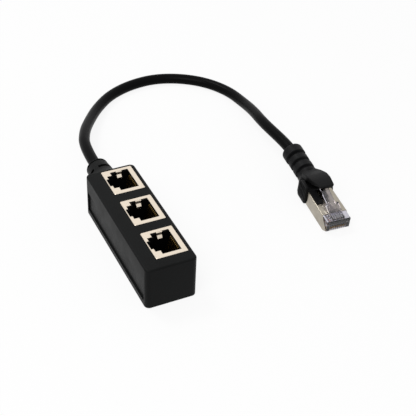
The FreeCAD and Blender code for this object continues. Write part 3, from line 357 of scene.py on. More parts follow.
def reshape_springs(piece, middle_y, mouth_z):
    """Folds a can's ground springs more sharply than the solid does: straight down from the face,
    then in and back. Each line gives how far the spring stands into the mouth at a depth below the
    face; a point moves by what the second line, at its depth, has more than the first."""
    shape = bmesh.new()
    shape.from_mesh(piece.data)

    def in_spring(vert):
        x, y, z = vert.co / MM
        return (
            abs(x - SPRING_MIDDLE_X) < SPRING_HALF_WIDTH + SPRING_SIDE_SLACK
            and abs(abs(y - middle_y) - MOUTH_HALF_WIDTH) < SPRING_LARGEST_REACH
            and SPRING_TOP_DEPTH < mouth_z - z < SPRING_END_DEPTH + SPRING_END_SLACK
        )

    # The solid has no edges at the depths where the real spring bends, so they are cut in first.
    for depth, _ in SPRING_TRUE_LINE[2:5]:
        faces = [face for face in shape.faces if any(in_spring(vert) for vert in face.verts)]
        faces = [face for face in faces if face.calc_area() < SPRING_LARGEST_FACE * MM**2]
        edges = {edge for face in faces for edge in face.edges}
        verts = {vert for face in faces for vert in face.verts}
        bmesh.ops.bisect_plane(
            shape,
            geom=faces + list(edges) + list(verts),
            plane_co=(0, 0, (mouth_z - depth) * MM),
            plane_no=(0, 0, 1),
            dist=1e-6,
        )
    for vert in [vert for vert in shape.verts if in_spring(vert)]:
        depth = mouth_z - vert.co.z / MM
        reach = np.interp(depth, *zip(*SPRING_TRUE_LINE)) - np.interp(depth, *zip(*SPRING_CAD_LINE))
        side = 1 if vert.co.y / MM > middle_y else -1
        vert.co.y -= side * reach * MM
        taper = 1 - SPRING_TAPER * np.clip(depth / SPRING_TAPER_DEPTH, 0, 1)
        vert.co.x = (SPRING_MIDDLE_X + (vert.co.x / MM - SPRING_MIDDLE_X) * taper) * MM
    shape.to_mesh(piece.data)
    shape.free()


for number in (1, 2, 3):
    can = dressed(f"jack_{number}_shield", f"can_{number}", can_nickel_painted_reflection)
    low, high = np.array(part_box(f"jack_{number}_shield")) / MM
    reshape_springs(can, (low[1] + high[1]) / 2, high[2])
    soften(can, CAN_EDGE)
    soften(
        dressed(f"jack_{number}_insulator", f"insulator_{number}", insulator_pbt),
        INSULATOR_EDGE,
    )
    dressed(f"jack_{number}_contacts", f"contact_wires_{number}", contact_gold_painted_shade)


# Circuit board
# A board of glass-fibre laminate with a green solder mask stands behind the sockets; the lead's
# wires are soldered to its back.
# Solder mask printed over the laminate is deep green, with a soft gloss.
board_laminate = moulded("green_masked_laminate", "14401f", "1b4d28", 0.35, 0.5, 0.5, 0.03)
dressed("circuit_board", "board", board_laminate)


# Strain relief
# A bell of soft black PVC, moulded over the lead where it leaves the housing. It flares out to the
# wall, and a groove round its lip and a part slot behind it let it bend.
BELL_FOOT_Y = 33.8
BELL_MOUTH_Y = 49.3
BELL_AXIS_Z = 9.9
BELL_FOOT_RADIUS = 9.6
BELL_WAIST_Y = 42.6
BELL_WAIST_RADIUS = 5.6
BELL_HOLLOW = 0.9
BELL_LIP_RADIUS = 5.0
BELL_LIP_ROUND = 0.3
# Where each cut starts and ends along y, and its depth. The webs are where the slot is not cut.
BELL_LIP_GROOVE = (48.0, 48.6, 0.6)
BELL_PART_SLOT = (42.6, 43.7, 1.15)
BELL_CUT_SOFTNESS = 0.12
BELL_WEB_ANGLE = -60.0
BELL_WEB_WIDTH = 2.8
BELL_WEB_SOFTNESS = 0.4
BELL_COLLAR_RADIUS = 7.6
BELL_COLLAR_LENGTH = 1.2
BELL_HOLLOW_RADIUS = 6.8
BELL_HOLLOW_END_Y = 36.0
BELL_JACKET_END_Y = 42.3
LEAD_CLEARANCE = 0.05
BELL_BORE_RADIUS = LEAD_DIAMETER / 2 + LEAD_CLEARANCE
BELL_BORE_CHAMFER = 0.2
BELL_FLARE_ROWS = 20
BELL_TAPER_ROWS = 110
BELL_RING_POINTS = 144
SKIN_CREASE = np.radians(40)


def step(values, edge, softness):
    """0 below the edge and 1 above it. Between them it is three t squared less two t cubed, while t
    runs from 0 to 1 over the softness."""
    t = np.clip((values - edge) / softness + 0.5, 0.0, 1.0)
    return t * t * (3 - 2 * t)


def band(values, low, high, softness):
    """1 between low and high and 0 outside: the step at low less the step at high."""
    return step(values, low, softness) - step(values, high, softness)


def skin(grids, name, material, nodes):
    """One piece from closed grids of places in millimetres, each rows x columns x 3. Columns close
    round into rings; the first and the last row are filled by a flat face each. A grid whose
    signed volume, the sum of the corners' triple products, is negative is turned round."""
    places, faces, count = [], [], 0
    for grid in grids:
        rows, columns = grid.shape[:2]
        index = np.arange(rows * columns).reshape(rows, columns)
        here, beside = index, np.roll(index, -1, axis=1)
        quads = np.stack([here[:-1], beside[:-1], beside[1:], here[1:]], -1).reshape(-1, 4)
        flat = grid.reshape(-1, 3)
        a, b, c, d = (flat[quads[:, k]] for k in range(4))
        volume = (np.cross(a, b) * c).sum() + (np.cross(a, c) * d).sum()
        rings = [index[0, ::-1], index[-1]]
        for ring, centre in zip(rings, (flat[index[0]].mean(0), flat[index[-1]].mean(0))):
            p, q = flat[ring], flat[np.roll(ring, -1)]
            volume += (np.cross(p, q) * centre).sum()
        if volume < 0:
            quads, rings = quads[:, ::-1], [ring[::-1] for ring in rings]
        faces += (quads + count).tolist() + [(ring + count).tolist() for ring in rings]
        places.append(flat * MM)
        count += len(flat)
    mesh = bpy.data.meshes.new(name)
    mesh.from_pydata(np.concatenate(places).tolist(), [], faces)
    mesh.polygons.foreach_set("use_smooth", np.ones(len(mesh.polygons), dtype=bool))
    mesh.set_sharp_from_angle(angle=SKIN_CREASE)
    mesh.materials.append(material)
    piece = bpy.data.objects.new(name, mesh)
    bpy.context.scene.collection.objects.link(piece)
    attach(piece, "root")
    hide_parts(*nodes)
    return piece


# Its outer line in y and radius: a hollow flare to the waist, then a slow taper to the lip.
flare = np.linspace(0, 1, BELL_FLARE_ROWS)
flare_y = BELL_FOOT_Y + (BELL_WAIST_Y - BELL_FOOT_Y) * flare
flare_radius = (
    BELL_FOOT_RADIUS
    + (BELL_WAIST_RADIUS - BELL_FOOT_RADIUS) * flare
    - BELL_HOLLOW * 4 * flare * (1 - flare)
)
taper_y = np.linspace(BELL_WAIST_Y, BELL_MOUTH_Y - BELL_LIP_ROUND, BELL_TAPER_ROWS)[1:]
taper_radius = np.interp(
    taper_y, (BELL_WAIST_Y, BELL_LIP_GROOVE[0]), (BELL_WAIST_RADIUS, BELL_LIP_RADIUS)
)
lip_turn = np.radians([30, 60, 90])
lip_y = BELL_MOUTH_Y - BELL_LIP_ROUND + BELL_LIP_ROUND * np.sin(lip_turn)
lip_radius = BELL_LIP_RADIUS - BELL_LIP_ROUND + BELL_LIP_ROUND * np.cos(lip_turn)
# Its inner line, back from the mouth: the bore, the hollow for the wires and the collar.
inner = np.array(
    [
        (BELL_MOUTH_Y, BELL_BORE_RADIUS + BELL_BORE_CHAMFER),
        (BELL_MOUTH_Y - BELL_BORE_CHAMFER, BELL_BORE_RADIUS),
        (BELL_JACKET_END_Y, BELL_BORE_RADIUS),
        (BELL_HOLLOW_END_Y, BELL_HOLLOW_RADIUS),
        (BELL_FOOT_Y - BELL_COLLAR_LENGTH, BELL_HOLLOW_RADIUS),
        (BELL_FOOT_Y - BELL_COLLAR_LENGTH, BELL_COLLAR_RADIUS),
        (BELL_FOOT_Y, BELL_COLLAR_RADIUS),
        (BELL_FOOT_Y, BELL_FOOT_RADIUS),
    ]
)
bell_y = np.concatenate([flare_y, taper_y, lip_y, inner[:, 0]])[:, None]
bell_radius = np.concatenate([flare_radius, taper_radius, lip_radius, inner[:, 1]])[:, None]
bell_angle = np.linspace(0, 2 * np.pi, BELL_RING_POINTS, endpoint=False)[None, :]
on_outside = (np.arange(len(bell_y)) < len(flare_y) + len(taper_y))[:, None]
from_web = np.abs(np.sin(bell_angle - np.radians(BELL_WEB_ANGLE))) * BELL_WAIST_RADIUS
low, high, depth = BELL_PART_SLOT
off_webs = step(from_web, BELL_WEB_WIDTH / 2, BELL_WEB_SOFTNESS)
slot_depth = depth * band(bell_y, low, high, BELL_CUT_SOFTNESS) * off_webs
low, high, depth = BELL_LIP_GROOVE
groove_depth = depth * band(bell_y, low, high, BELL_CUT_SOFTNESS)
bell_radius = bell_radius - on_outside * (slot_depth + groove_depth)
bell_grid = np.stack(
    [
        bell_radius * np.cos(bell_angle),
        bell_y * np.ones_like(bell_angle),
        BELL_AXIS_Z + bell_radius * np.sin(bell_angle),
    ],
    -1,
)
# Moulded PVC: a soft satin black, with a fine skin from the mould.
relief_pvc = moulded("moulded_black_pvc", "090909", "0e0f0f", 0.50, 0.08, 0.5, 0.03)
bell = skin([bell_grid], "strain_relief_bell", relief_pvc, ["strain_relief"])


# Coloured wires
# Eight copper wires with coloured polyethylene insulation run from each end of the lead: four in
# plain colours, and each one's partner white with a stripe of its colour. Extruded, so glossy.
WIRE_DIAMETER = 0.65
WIRE_CIRCLE = 1.5
WIRE_COLOURS = {"orange": "d9641e", "green": "2f7d3a", "blue": "2a4fa8", "brown": "6b3f24"}
WIRE_ORDER = ["orange", "orange", "green", "blue", "blue", "green", "brown", "brown"]
STRIPED_WIRES = [0, 2, 4, 6]
STRIPE_SIDES = 3
WIRE_SIDES = 12
WIRE_CORNER_CUTS = 3
MIDDLE_WIRE = 3.5
FIRST_COLUMN_ANGLE = 157.5
COLUMN_ANGLE_STEP = 45.0
# A direction that no wire runs along, from which the two across a wire are worked out.
OFF_EVERY_WIRE = (0.3, 0.2, 1.0)


def wire_start(k):
    """Where wire k lies in the lead: four columns of two on a circle, as (across, along)."""
    side = 1 if (k % 2 == 0) == (k < 4) else -1
    angle = np.radians(FIRST_COLUMN_ANGLE - COLUMN_ANGLE_STEP * (k // 2))
    return WIRE_CIRCLE * np.cos(angle), side * WIRE_CIRCLE * np.sin(angle)


def wire_grid(route, diameter):
    """A round wire along a route whose corners are cut three times at a quarter and three quarters
    of each run; every ring lies square to the line, on the two directions at right angles to it."""
    line = np.array(route, dtype=float)
    for _ in range(WIRE_CORNER_CUTS):
        quarter = 0.75 * line[:-1] + 0.25 * line[1:]
        three_quarters = 0.25 * line[:-1] + 0.75 * line[1:]
        cut = np.stack([quarter, three_quarters], 1).reshape(-1, 3)
        line = np.concatenate([line[:1], cut[1:-1], line[-1:]])
    ahead = np.gradient(line, axis=0)
    ahead /= np.linalg.norm(ahead, axis=1, keepdims=True)
    sideways = np.cross(ahead, OFF_EVERY_WIRE)
    sideways /= np.linalg.norm(sideways, axis=1, keepdims=True)
    across = np.cross(sideways, ahead)
    angle = np.linspace(0, 2 * np.pi, WIRE_SIDES, endpoint=False)[None, :, None]
    ring = np.cos(angle) * sideways[:, None] + np.sin(angle) * across[:, None]
    return line[:, None] + diameter / 2 * ring


# Extruded polyethylene: smooth and a little waxy, so each colour shows with a soft gloss.
white_polyethylene = moulded("white_polyethylene", "dcdad2", "e6e4dd", 0.38, 0.5, 0.8, 0.005)
coloured_polyethylene = {
    name: moulded(f"{name}_polyethylene", colour, colour, 0.38, 0.5, 0.8, 0.005)
    for name, colour in WIRE_COLOURS.items()
}


def wire_set(routes, name, node):
    """Eight wires as one piece. In a striped wire, three of the twelve faces round it are coloured
    and the rest are white."""
    grids = [wire_grid(route, WIRE_DIAMETER) for route in routes]
    piece = skin(grids, name, white_polyethylene, [node])
    names = list(WIRE_COLOURS)
    for colour in names:
        piece.data.materials.append(coloured_polyethylene[colour])
    slots = []
    for k, grid in enumerate(grids):
        rings = np.full((grid.shape[0] - 1, grid.shape[1]), 1 + names.index(WIRE_ORDER[k]))
        if k in STRIPED_WIRES:
            rings[:, STRIPE_SIDES:] = 0
        slots.append(np.concatenate([rings.ravel(), [rings[0, -1]] * 2]))
    piece.data.polygons.foreach_set("material_index", np.concatenate(slots).astype(np.int32))
    return piece


# The wires spread from the lead into a notch in the wall, then turn on to the board.
BOARD_BACK_X = -6.05
NOTCH_X = -5.25
NOTCH_Y = 31.95
WIRE_COLUMN_PITCH = 0.9
WIRE_STRAIGHT_RUN = 2.0
WIRE_SPREAD_END_Y = BELL_FOOT_Y + 1.6
WIRE_TURN_Y = NOTCH_Y - 0.3
WIRE_PAD_Y = NOTCH_Y - 2.9
housing_routes = []
for k in range(8):
    across, along = wire_start(k)
    z = BELL_AXIS_Z + WIRE_COLUMN_PITCH * (k - MIDDLE_WIRE)
    on_board = BOARD_BACK_X - WIRE_DIAMETER / 2
    housing_routes.append(
        [
            (along, BELL_JACKET_END_Y, BELL_AXIS_Z + across),
            (along, BELL_JACKET_END_Y - WIRE_STRAIGHT_RUN, BELL_AXIS_Z + across),
            (NOTCH_X, WIRE_SPREAD_END_Y, z),
            (NOTCH_X, NOTCH_Y, z),
            (on_board, WIRE_TURN_Y, z),
            (on_board, WIRE_PAD_Y, z),
        ]
    )
housing_wires = wire_set(housing_routes, "housing_wire_set", "housing_wires")


# Plug
# The plug's body and latch are one clear moulding of polycarbonate; a folded shield of nickel-
# plated brass covers its rear two thirds and ends in the crimp round the lead.
PLUG_PLACE = np.array([84.2, -20.6, -0.272])
PLUG_YAW, PLUG_PITCH = np.radians([-3.5, 6.5])
SHIELD_HALF_WIDTH = 5.9
SHIELD_ROOF = 6.7
SHIELD_FOLD = 0.5
SHIELD_EDGE = 0.05
FOLD_SEGMENTS = 4
FOLD_SLACK = 0.05
PLUG_BODY_EDGE = 0.14
CONTACT_PITCH = 1.02
WIRE_LEVEL = 2.9
PLUG_AXIS_Z = 5.0
JACKET_END_IN_PLUG = 24.0
# Along the plug, a wire lies level from its tip to its bend, then gathers towards the lead.
PLUG_WIRE_TIP = 1.5
PLUG_WIRE_BEND = 12.5
PLUG_WIRE_GATHER = 20.5
GATHER_SPREAD = 0.3
GATHER_RISE = 0.55
PLUG_WIRE_STRAIGHT = 0.6

pitch_turn = np.array(
    [
        (1, 0, 0),
        (0, np.cos(PLUG_PITCH), -np.sin(PLUG_PITCH)),
        (0, np.sin(PLUG_PITCH), np.cos(PLUG_PITCH)),
    ]
)
yaw_turn = np.array(
    [
        (np.cos(PLUG_YAW), -np.sin(PLUG_YAW), 0),
        (np.sin(PLUG_YAW), np.cos(PLUG_YAW), 0),
        (0, 0, 1),
    ]
)
plug_turn = yaw_turn @ pitch_turn


def at_plug(grid):
    """Places from the plug's own axes, x right, y rearward, z up, moved to where the plug lies."""
    return np.asarray(grid, dtype=float) @ plug_turn.T + PLUG_PLACE


def fold_edges(piece, half_width, roof, width):
    """Rounds the two long folds of the shield, the edges at a half width and a height of the roof
    in the plug's own axes, by a width in millimetres."""
    shape = bmesh.new()
    shape.from_mesh(piece.data)
    folds = []
    for edge in shape.edges:
        ends = (np.array([vert.co[:] for vert in edge.verts]) / MM - PLUG_PLACE) @ plug_turn
        at_side = np.abs(np.abs(ends[:, 0]) - half_width).max() < FOLD_SLACK
        if at_side and np.abs(ends[:, 2] - roof).max() < FOLD_SLACK:
            folds.append(edge)
    bmesh.ops.bevel(
        shape,
        geom=folds,
        offset=width * MM,
        segments=FOLD_SEGMENTS,
        profile=0.5,
        affect="EDGES",
    )
    for face in shape.faces:
        face.smooth = True
    shape.to_mesh(piece.data)
    shape.free()
    piece.data.set_sharp_from_angle(angle=CREASE_ANGLE)


def clear_plastic(name, tint, roughness):
    """A transparent moulding with a faint tint."""
    material = bpy.data.materials.new(name)
    material.use_nodes = True
    tree = material.node_tree
    tree.nodes.clear()
    surface = add(
        tree,
        "ShaderNodeBsdfPrincipled",
        {
            "Base Color": linear(tint),
            "Roughness": roughness,
            "IOR": 1.52,
            "Transmission Weight": 1.0,
        },
    )
    add(tree, "ShaderNodeOutputMaterial", links={"Surface": (surface, "BSDF")})
    return material


# Polycarbonate from a polished tool: clear as glass, with a faint grey tint.
body_polycarbonate = clear_plastic("clear_polycarbonate", "d3d0da", 0.03)
plug_body = dressed("plug_body", "plug_body_moulding", body_polycarbonate)
soften(plug_body, PLUG_BODY_EDGE)
# Nickel plate on thin folded sheet: bright, and wavy enough to break up what it mirrors. Its
# colour is painted darker and greyer than the can's: painted shade for darker surroundings it
# mirrors.
shield_nickel_painted_shade = plated("nickel_plated_shield_painted_shade", "b9b2a5", "8a8376", 0.20, 4.0, 0.30)
plug_shield = dressed("plug_shield", "plug_shield_sheet", shield_nickel_painted_shade)
fold_edges(plug_shield, SHIELD_HALF_WIDTH, SHIELD_ROOF, SHIELD_FOLD)
soften(plug_shield, SHIELD_EDGE)
# Gold over nickel on stamped blades: a bright, even yellow.
blade_gold = plated("gold_plated_blades", "dcb76c", "c9a152", 0.24, 1.0, 0.01)
plug_contacts = dressed("plug_contacts", "plug_blades", blade_gold)

plug_routes = []
for k in range(8):
    across, along = wire_start(k)
    x = CONTACT_PITCH * (k - MIDDLE_WIRE)
    end_z = PLUG_AXIS_Z + along
    gather_x = across + GATHER_SPREAD * (x - across)
    gather_z = WIRE_LEVEL + GATHER_RISE * (end_z - WIRE_LEVEL)
    route = [
        (x, PLUG_WIRE_TIP, WIRE_LEVEL),
        (x, PLUG_WIRE_BEND, WIRE_LEVEL),
        (gather_x, PLUG_WIRE_GATHER, gather_z),
        (across, JACKET_END_IN_PLUG - PLUG_WIRE_STRAIGHT, end_z),
        (across, JACKET_END_IN_PLUG, end_z),
    ]
    plug_routes.append(at_plug(route))
plug_wires = wire_set(plug_routes, "plug_wire_set", "plug_wires")


# Boot
# The boot is one moulding of soft black PVC, matt, slid over the plug's rear: a squarish body that
# narrows to a ribbed round tail, a hood over the latch, a wing each side and a flap on the shield.
BOOT_START = 19.8
BOOT_BLOCK_END = 25.5
BOOT_NECK_START = 31.5
BOOT_END = 48.5
BOOT_HALF_WIDTH = 7.0
BOOT_LOW = -0.7
BOOT_HIGH = 7.5
BOOT_FRONT_ROUND = 0.6
BOOT_END_ROUND = 0.7
BOOT_PLAIN_START = BOOT_START + 0.8
BOOT_NECK_RADIUS = 4.7
BOOT_RING_RADIUS = 4.9
BOOT_RING_START = 43.7
BOOT_RING_SOFTNESS = 0.3
# The neck is round, squareness 2, and the block is squarer by as much as this.
BOOT_ADDED_SQUARENESS = 7
BOOT_GROOVES = [33.2, 38.1, 43.0]
BOOT_GROOVE_WIDTH = 1.5
BOOT_GROOVE_DEPTH = 1.3
BOOT_GROOVE_SOFTNESS = 0.7
# The webs across the grooves, at both sides of the tail, are sunk by this share of their depth.
BOOT_WEB_WIDTH = 1.6
BOOT_WEB_SUNK = 0.55
BOOT_WEB_SOFTNESS = 0.5
BOOT_BORE_RADIUS = LEAD_DIAMETER / 2 + LEAD_CLEARANCE
BOOT_BORE_CHAMFER = 0.3
BOOT_BORE_START = BOOT_NECK_START + 4
BOOT_POCKET_DEPTH = 2.2
BOOT_POCKET_HALF_WIDTH = 5.95
BOOT_POCKET_LOW = -0.05
BOOT_POCKET_HIGH = 6.75
BOOT_POCKET_SQUARENESS = 12
BLOCK_ROWS = 36
TAIL_ROWS = 150
RING_POINTS = 112


def through(stations, values, places):
    """A smooth line through values at stations: between two of them the cubic Hermite curve whose
    slopes are the differences of the neighbours."""
    stations, values = np.array(stations, dtype=float), np.array(values, dtype=float)
    slopes = np.gradient(values, stations)
    k = np.clip(np.searchsorted(stations, places) - 1, 0, len(stations) - 2)
    run = stations[k + 1] - stations[k]
    t = np.clip((places - stations[k]) / run, 0, 1)
    return (
        (2 * t**3 - 3 * t**2 + 1) * values[k]
        + (t**3 - 2 * t**2 + t) * run * slopes[k]
        + (3 * t**2 - 2 * t**3) * values[k + 1]
        + (t**3 - t**2) * run * slopes[k + 1]
    )


def rounded_off(distance, length, depth):
    """How far an edge draws back at a distance from its end: a quarter of an ellipse, as deep as
    the depth at the end itself, and 0 from the length on."""
    return depth * (1 - np.sqrt(1 - np.clip(1 - distance / length, 0, 1) ** 2))


def loft(y, left, right, low, high, squareness):
    """Rings square to the plug's length. Each is a superellipse in its box: the shares of half the
    width and half the height, each to the power of the squareness, add up to 1. A squareness of 2
    gives an ellipse, and 8 nearly a rectangle."""
    y, left, right, low, high, squareness = (
        np.broadcast_to(np.asarray(v, dtype=float), np.shape(y))[:, None]
        for v in (y, left, right, low, high, squareness)
    )
    angle = np.linspace(0, 2 * np.pi, RING_POINTS, endpoint=False)[None, :]
    powers = np.abs(np.cos(angle)) ** squareness + np.abs(np.sin(angle)) ** squareness
    reach = powers ** (-1 / squareness)
    x = (left + right) / 2 + (right - left) / 2 * reach * np.cos(angle)
    z = (low + high) / 2 + (high - low) / 2 * reach * np.sin(angle)
    return np.stack([x, y * np.ones_like(x), z], -1)


# The body: its width, floor and roof come in together behind the block, and its corners with them.
body_y = np.concatenate(
    [
        BOOT_START + BOOT_FRONT_ROUND * (1 - np.cos(np.radians([0, 22, 45, 67, 90]))),
        np.linspace(BOOT_PLAIN_START, BOOT_NECK_START, BLOCK_ROWS),
        np.linspace(BOOT_NECK_START, BOOT_END - BOOT_END_ROUND, TAIL_ROWS)[1:],
        BOOT_END - BOOT_END_ROUND + BOOT_END_ROUND * np.sin(np.radians([22, 45, 67, 90])),
    ]
)
narrowing = step(body_y, (BOOT_BLOCK_END + BOOT_NECK_START) / 2, BOOT_NECK_START - BOOT_BLOCK_END)
ringed = step(body_y, BOOT_RING_START, BOOT_RING_SOFTNESS)
neck = BOOT_NECK_RADIUS + (BOOT_RING_RADIUS - BOOT_NECK_RADIUS) * ringed
front_round = rounded_off(body_y - BOOT_START, BOOT_FRONT_ROUND, BOOT_FRONT_ROUND)
end_round = rounded_off(BOOT_END - body_y, BOOT_END_ROUND, BOOT_END_ROUND)
inset = front_round + end_round
body_half = BOOT_HALF_WIDTH + (neck - BOOT_HALF_WIDTH) * narrowing - inset
body_low = BOOT_LOW + (PLUG_AXIS_Z - neck - BOOT_LOW) * narrowing + inset
body_high = BOOT_HIGH + (PLUG_AXIS_Z + neck - BOOT_HIGH) * narrowing - inset
body_squareness = 2 + BOOT_ADDED_SQUARENESS * (1 - narrowing) ** 2
body = loft(body_y, -body_half, body_half, body_low, body_high, body_squareness)

# The grooves: each shrinks the tail towards its middle line, less so on the webs.
half_groove = BOOT_GROOVE_WIDTH / 2
in_groove = sum(
    band(body_y, y - half_groove, y + half_groove, BOOT_GROOVE_SOFTNESS) for y in BOOT_GROOVES
)[:, None]
from_web = np.abs(body[..., 2] - PLUG_AXIS_Z)
off_web = step(from_web, BOOT_WEB_WIDTH / 2, BOOT_WEB_SOFTNESS)
cut_share = BOOT_WEB_SUNK + (1 - BOOT_WEB_SUNK) * off_web
shrink = 1 - BOOT_GROOVE_DEPTH / BOOT_NECK_RADIUS * in_groove * cut_share
body[..., 0] *= shrink
body[..., 2] = PLUG_AXIS_Z + (body[..., 2] - PLUG_AXIS_Z) * shrink

# Inside, the bore round the lead at the rear and the pocket for the plug at the front.
bore_y = np.array([BOOT_END, BOOT_END - BOOT_BORE_CHAMFER, BOOT_BORE_START])
bore_radius = BOOT_BORE_RADIUS + np.array([BOOT_BORE_CHAMFER, 0, 0])
bore = loft(
    bore_y, -bore_radius, bore_radius, PLUG_AXIS_Z - bore_radius, PLUG_AXIS_Z + bore_radius, 2
)
pocket = loft(
    np.array([BOOT_START + BOOT_POCKET_DEPTH, BOOT_START]),
    -BOOT_POCKET_HALF_WIDTH,
    BOOT_POCKET_HALF_WIDTH,
    BOOT_POCKET_LOW,
    BOOT_POCKET_HIGH,
    BOOT_POCKET_SQUARENESS,
)
body = np.concatenate([pocket, body, bore])

# The hood: a broad crown, hollow underneath where the latch springs up. Its top and its skirt are
# measured from the crown, and towards the tail it loses most of its squareness.
HOOD_START = 15.6
HOOD_PLAIN_START = 16.3
HOOD_END = 31.9
HOOD_CROWN = 12.6
HOOD_UNDERSIDE = 11.35
HOOD_ROOM_HALF_WIDTH = 3.1
HOOD_ROOM_END = 21.0
HOOD_ROOM_SIDE_SOFTNESS = 0.3
HOOD_ROOM_END_SOFTNESS = 1.0
HOOD_ROUND_LENGTH = 0.5
HOOD_ROUND_DEPTH = 0.45
HOOD_SQUARENESS = 12.0
HOOD_SQUARENESS_LOSS = 9.0
HOOD_TURNS_ROUND = 29.0
HOOD_TURN_LENGTH = 7.0
HOOD_ROWS = 60
HOOD_STATIONS = [15.6, 18.1, 21.0, 24.5, 28.5, 31.9]
HOOD_RIGHT = [4.2, 4.5, 4.9, 5.0, 4.6, 3.1]
HOOD_LEFT = [-2.0, -3.2, -4.3, -5.0, -4.8, -3.1]
HOOD_TOP = [-0.2, 0.0, -0.1, -0.9, -2.6, -3.7]
HOOD_SKIRT = [-1.3, -1.8, -2.6, -3.8, -6.0, -7.6]
round_turn = np.radians([0, 30, 60, 90])
hood_y = np.concatenate(
    [
        HOOD_START + HOOD_ROUND_LENGTH * (1 - np.cos(round_turn)),
        np.linspace(HOOD_PLAIN_START, HOOD_END, HOOD_ROWS),
    ]
)
hood_round = rounded_off(hood_y - HOOD_START, HOOD_ROUND_LENGTH, HOOD_ROUND_DEPTH)
hood_right = np.interp(hood_y, HOOD_STATIONS, HOOD_RIGHT) - hood_round
hood_left = np.interp(hood_y, HOOD_STATIONS, HOOD_LEFT) + hood_round
hood_high = HOOD_CROWN + through(HOOD_STATIONS, HOOD_TOP, hood_y) - hood_round
hood_low = HOOD_CROWN + through(HOOD_STATIONS, HOOD_SKIRT, hood_y) + hood_round
turned_round = step(hood_y, HOOD_TURNS_ROUND, HOOD_TURN_LENGTH)
hood_squareness = HOOD_SQUARENESS - HOOD_SQUARENESS_LOSS * turned_round
hood = loft(hood_y, hood_left, hood_right, hood_low, hood_high, hood_squareness)
in_lower_half = hood[..., 2] < (hood_low + hood_high)[:, None] / 2
over_latch = band(
    hood[..., 0], -HOOD_ROOM_HALF_WIDTH, HOOD_ROOM_HALF_WIDTH, HOOD_ROOM_SIDE_SOFTNESS
)
before_end = (1 - step(hood_y, HOOD_ROOM_END, HOOD_ROOM_END_SOFTNESS))[:, None]
raised = np.maximum(hood[..., 2], HOOD_UNDERSIDE)
hood[..., 2] += (raised - hood[..., 2]) * (in_lower_half * over_latch * before_end)

# The wings: upright plates beside the latch, each with five finger ridges on its outside.
WING_START = BOOT_START - 0.1
WING_PLAIN_START = 20.2
WING_END = 26.7
WING_THICKNESS = 1.05
WING_FLOOR = 1.2
WING_ROUND = 0.4
WING_SQUARENESS = 6
WING_ROWS = 80
WING_STATIONS = [19.7, 20.6, 24.3, 26.7]
WING_TOPS = {-1: [9.4, 9.8, 10.2, 7.4], 1: [5.9, 6.3, 7.8, 7.4]}
# The ridges stand out by their height, and the valleys between them are cut into the plate.
RIDGES = BOOT_START + 0.8 + 1.15 * np.arange(5)
RIDGE_HALF_WIDTH = 0.3
RIDGE_HEIGHT = 0.3
RIDGE_TO_VALLEY = 0.9
RIDGE_SOFTNESS = 0.35
GRIP_LOW = 1.4
GRIP_HIGH = 8.6
GRIP_END = 25.7
GRIP_END_SOFTNESS = 0.3
GRIP_SIDE_SOFTNESS = 0.5
GRIP_SKIN = 0.3
wing_y = np.concatenate(
    [
        WING_START + WING_ROUND * (1 - np.cos(round_turn)),
        np.linspace(WING_PLAIN_START, WING_END, WING_ROWS),
    ]
)
wing_round = rounded_off(wing_y - WING_START, WING_ROUND, WING_ROUND)
on_ridge = sum(
    band(wing_y, y - RIDGE_HALF_WIDTH, y + RIDGE_HALF_WIDTH, RIDGE_SOFTNESS) for y in RIDGES
)[:, None]
relief = RIDGE_HEIGHT - RIDGE_TO_VALLEY * (1 - on_ridge)
along_grip = band(wing_y, WING_PLAIN_START, GRIP_END, GRIP_END_SOFTNESS)[:, None]
wings = []
for side in (-1, 1):
    faces_x = sorted([side * BOOT_HALF_WIDTH, side * (BOOT_HALF_WIDTH - WING_THICKNESS)])
    wing_high = through(WING_STATIONS, WING_TOPS[side], wing_y) - wing_round
    wing = loft(wing_y, *faces_x, WING_FLOOR + wing_round, wing_high, WING_SQUARENESS)
    outside = step(side * wing[..., 0], BOOT_HALF_WIDTH - GRIP_SKIN, GRIP_SKIN)
    on_grip = band(wing[..., 2], GRIP_LOW, GRIP_HIGH, GRIP_SIDE_SOFTNESS) * along_grip
    wing[..., 0] += side * relief * outside * on_grip
    wings.append(wing)

# The flap: a thin tongue that lies on the shield's roof at the latch's left.
FLAP_STATIONS = np.array([11.3, 11.4, 20.3])
FLAP_LEFT = -5.3
FLAP_RIGHT = -2.1
FLAP_LOW = 6.75
FLAP_TOPS = np.array([6.95, 7.1, 7.1])
FLAP_SQUARENESS = 14
flap = loft(FLAP_STATIONS, FLAP_LEFT, FLAP_RIGHT, FLAP_LOW, FLAP_TOPS, FLAP_SQUARENESS)

# Soft PVC: matt black, a shade lighter in faint patches, with a fine grain from the mould.
boot_pvc = moulded("soft_black_pvc", "0b0b0c", "131314", 0.50, 0.10, 0.5, 0.04)
boot_grids = [at_plug(grid) for grid in [body, hood, flap] + wings]
boot = skin(boot_grids, "boot", boot_pvc, ["plug_boot"])


# Floor, lamps and surround
# A plain white table with a matt top stands in a white room, under two soft lamps. What the lens,
# the metal and the clear plastic see of both is white, and the object keeps its soft shadow.
FLOOR_SIZE = 2.4
# The share of plain white in the floor as it is seen; the rest takes light and shadow.
FLOOR_WHITENESS = 0.88
SKY_LEVEL = 0.55
# Places in metres, square lamps in metres, and watts.
LAMP_TARGET = (0.04, 0.04, 0.01)
FRONT_LAMP_PLACE = (-0.45, -0.35, 0.75)
FRONT_LAMP_SIDE = 0.5
FRONT_LAMP_POWER = 3.2
REAR_LAMP_PLACE = (-0.22, 0.50, 0.87)
REAR_LAMP_SIDE = 0.3
REAR_LAMP_POWER = 2.6


def room_ray(tree):
    """1 where the camera, a reflection or a look through clear plastic meets a surface."""
    ray = add(tree, "ShaderNodeLightPath")
    direct = add(
        tree,
        "ShaderNodeMath",
        {"operation": "MAXIMUM"},
        {0: (ray, "Is Camera Ray"), 1: (ray, "Is Glossy Ray")},
    )
    return add(
        tree,
        "ShaderNodeMath",
        {"operation": "MAXIMUM"},
        {0: (direct, "Value"), 1: (ray, "Is Transmission Ray")},
    )


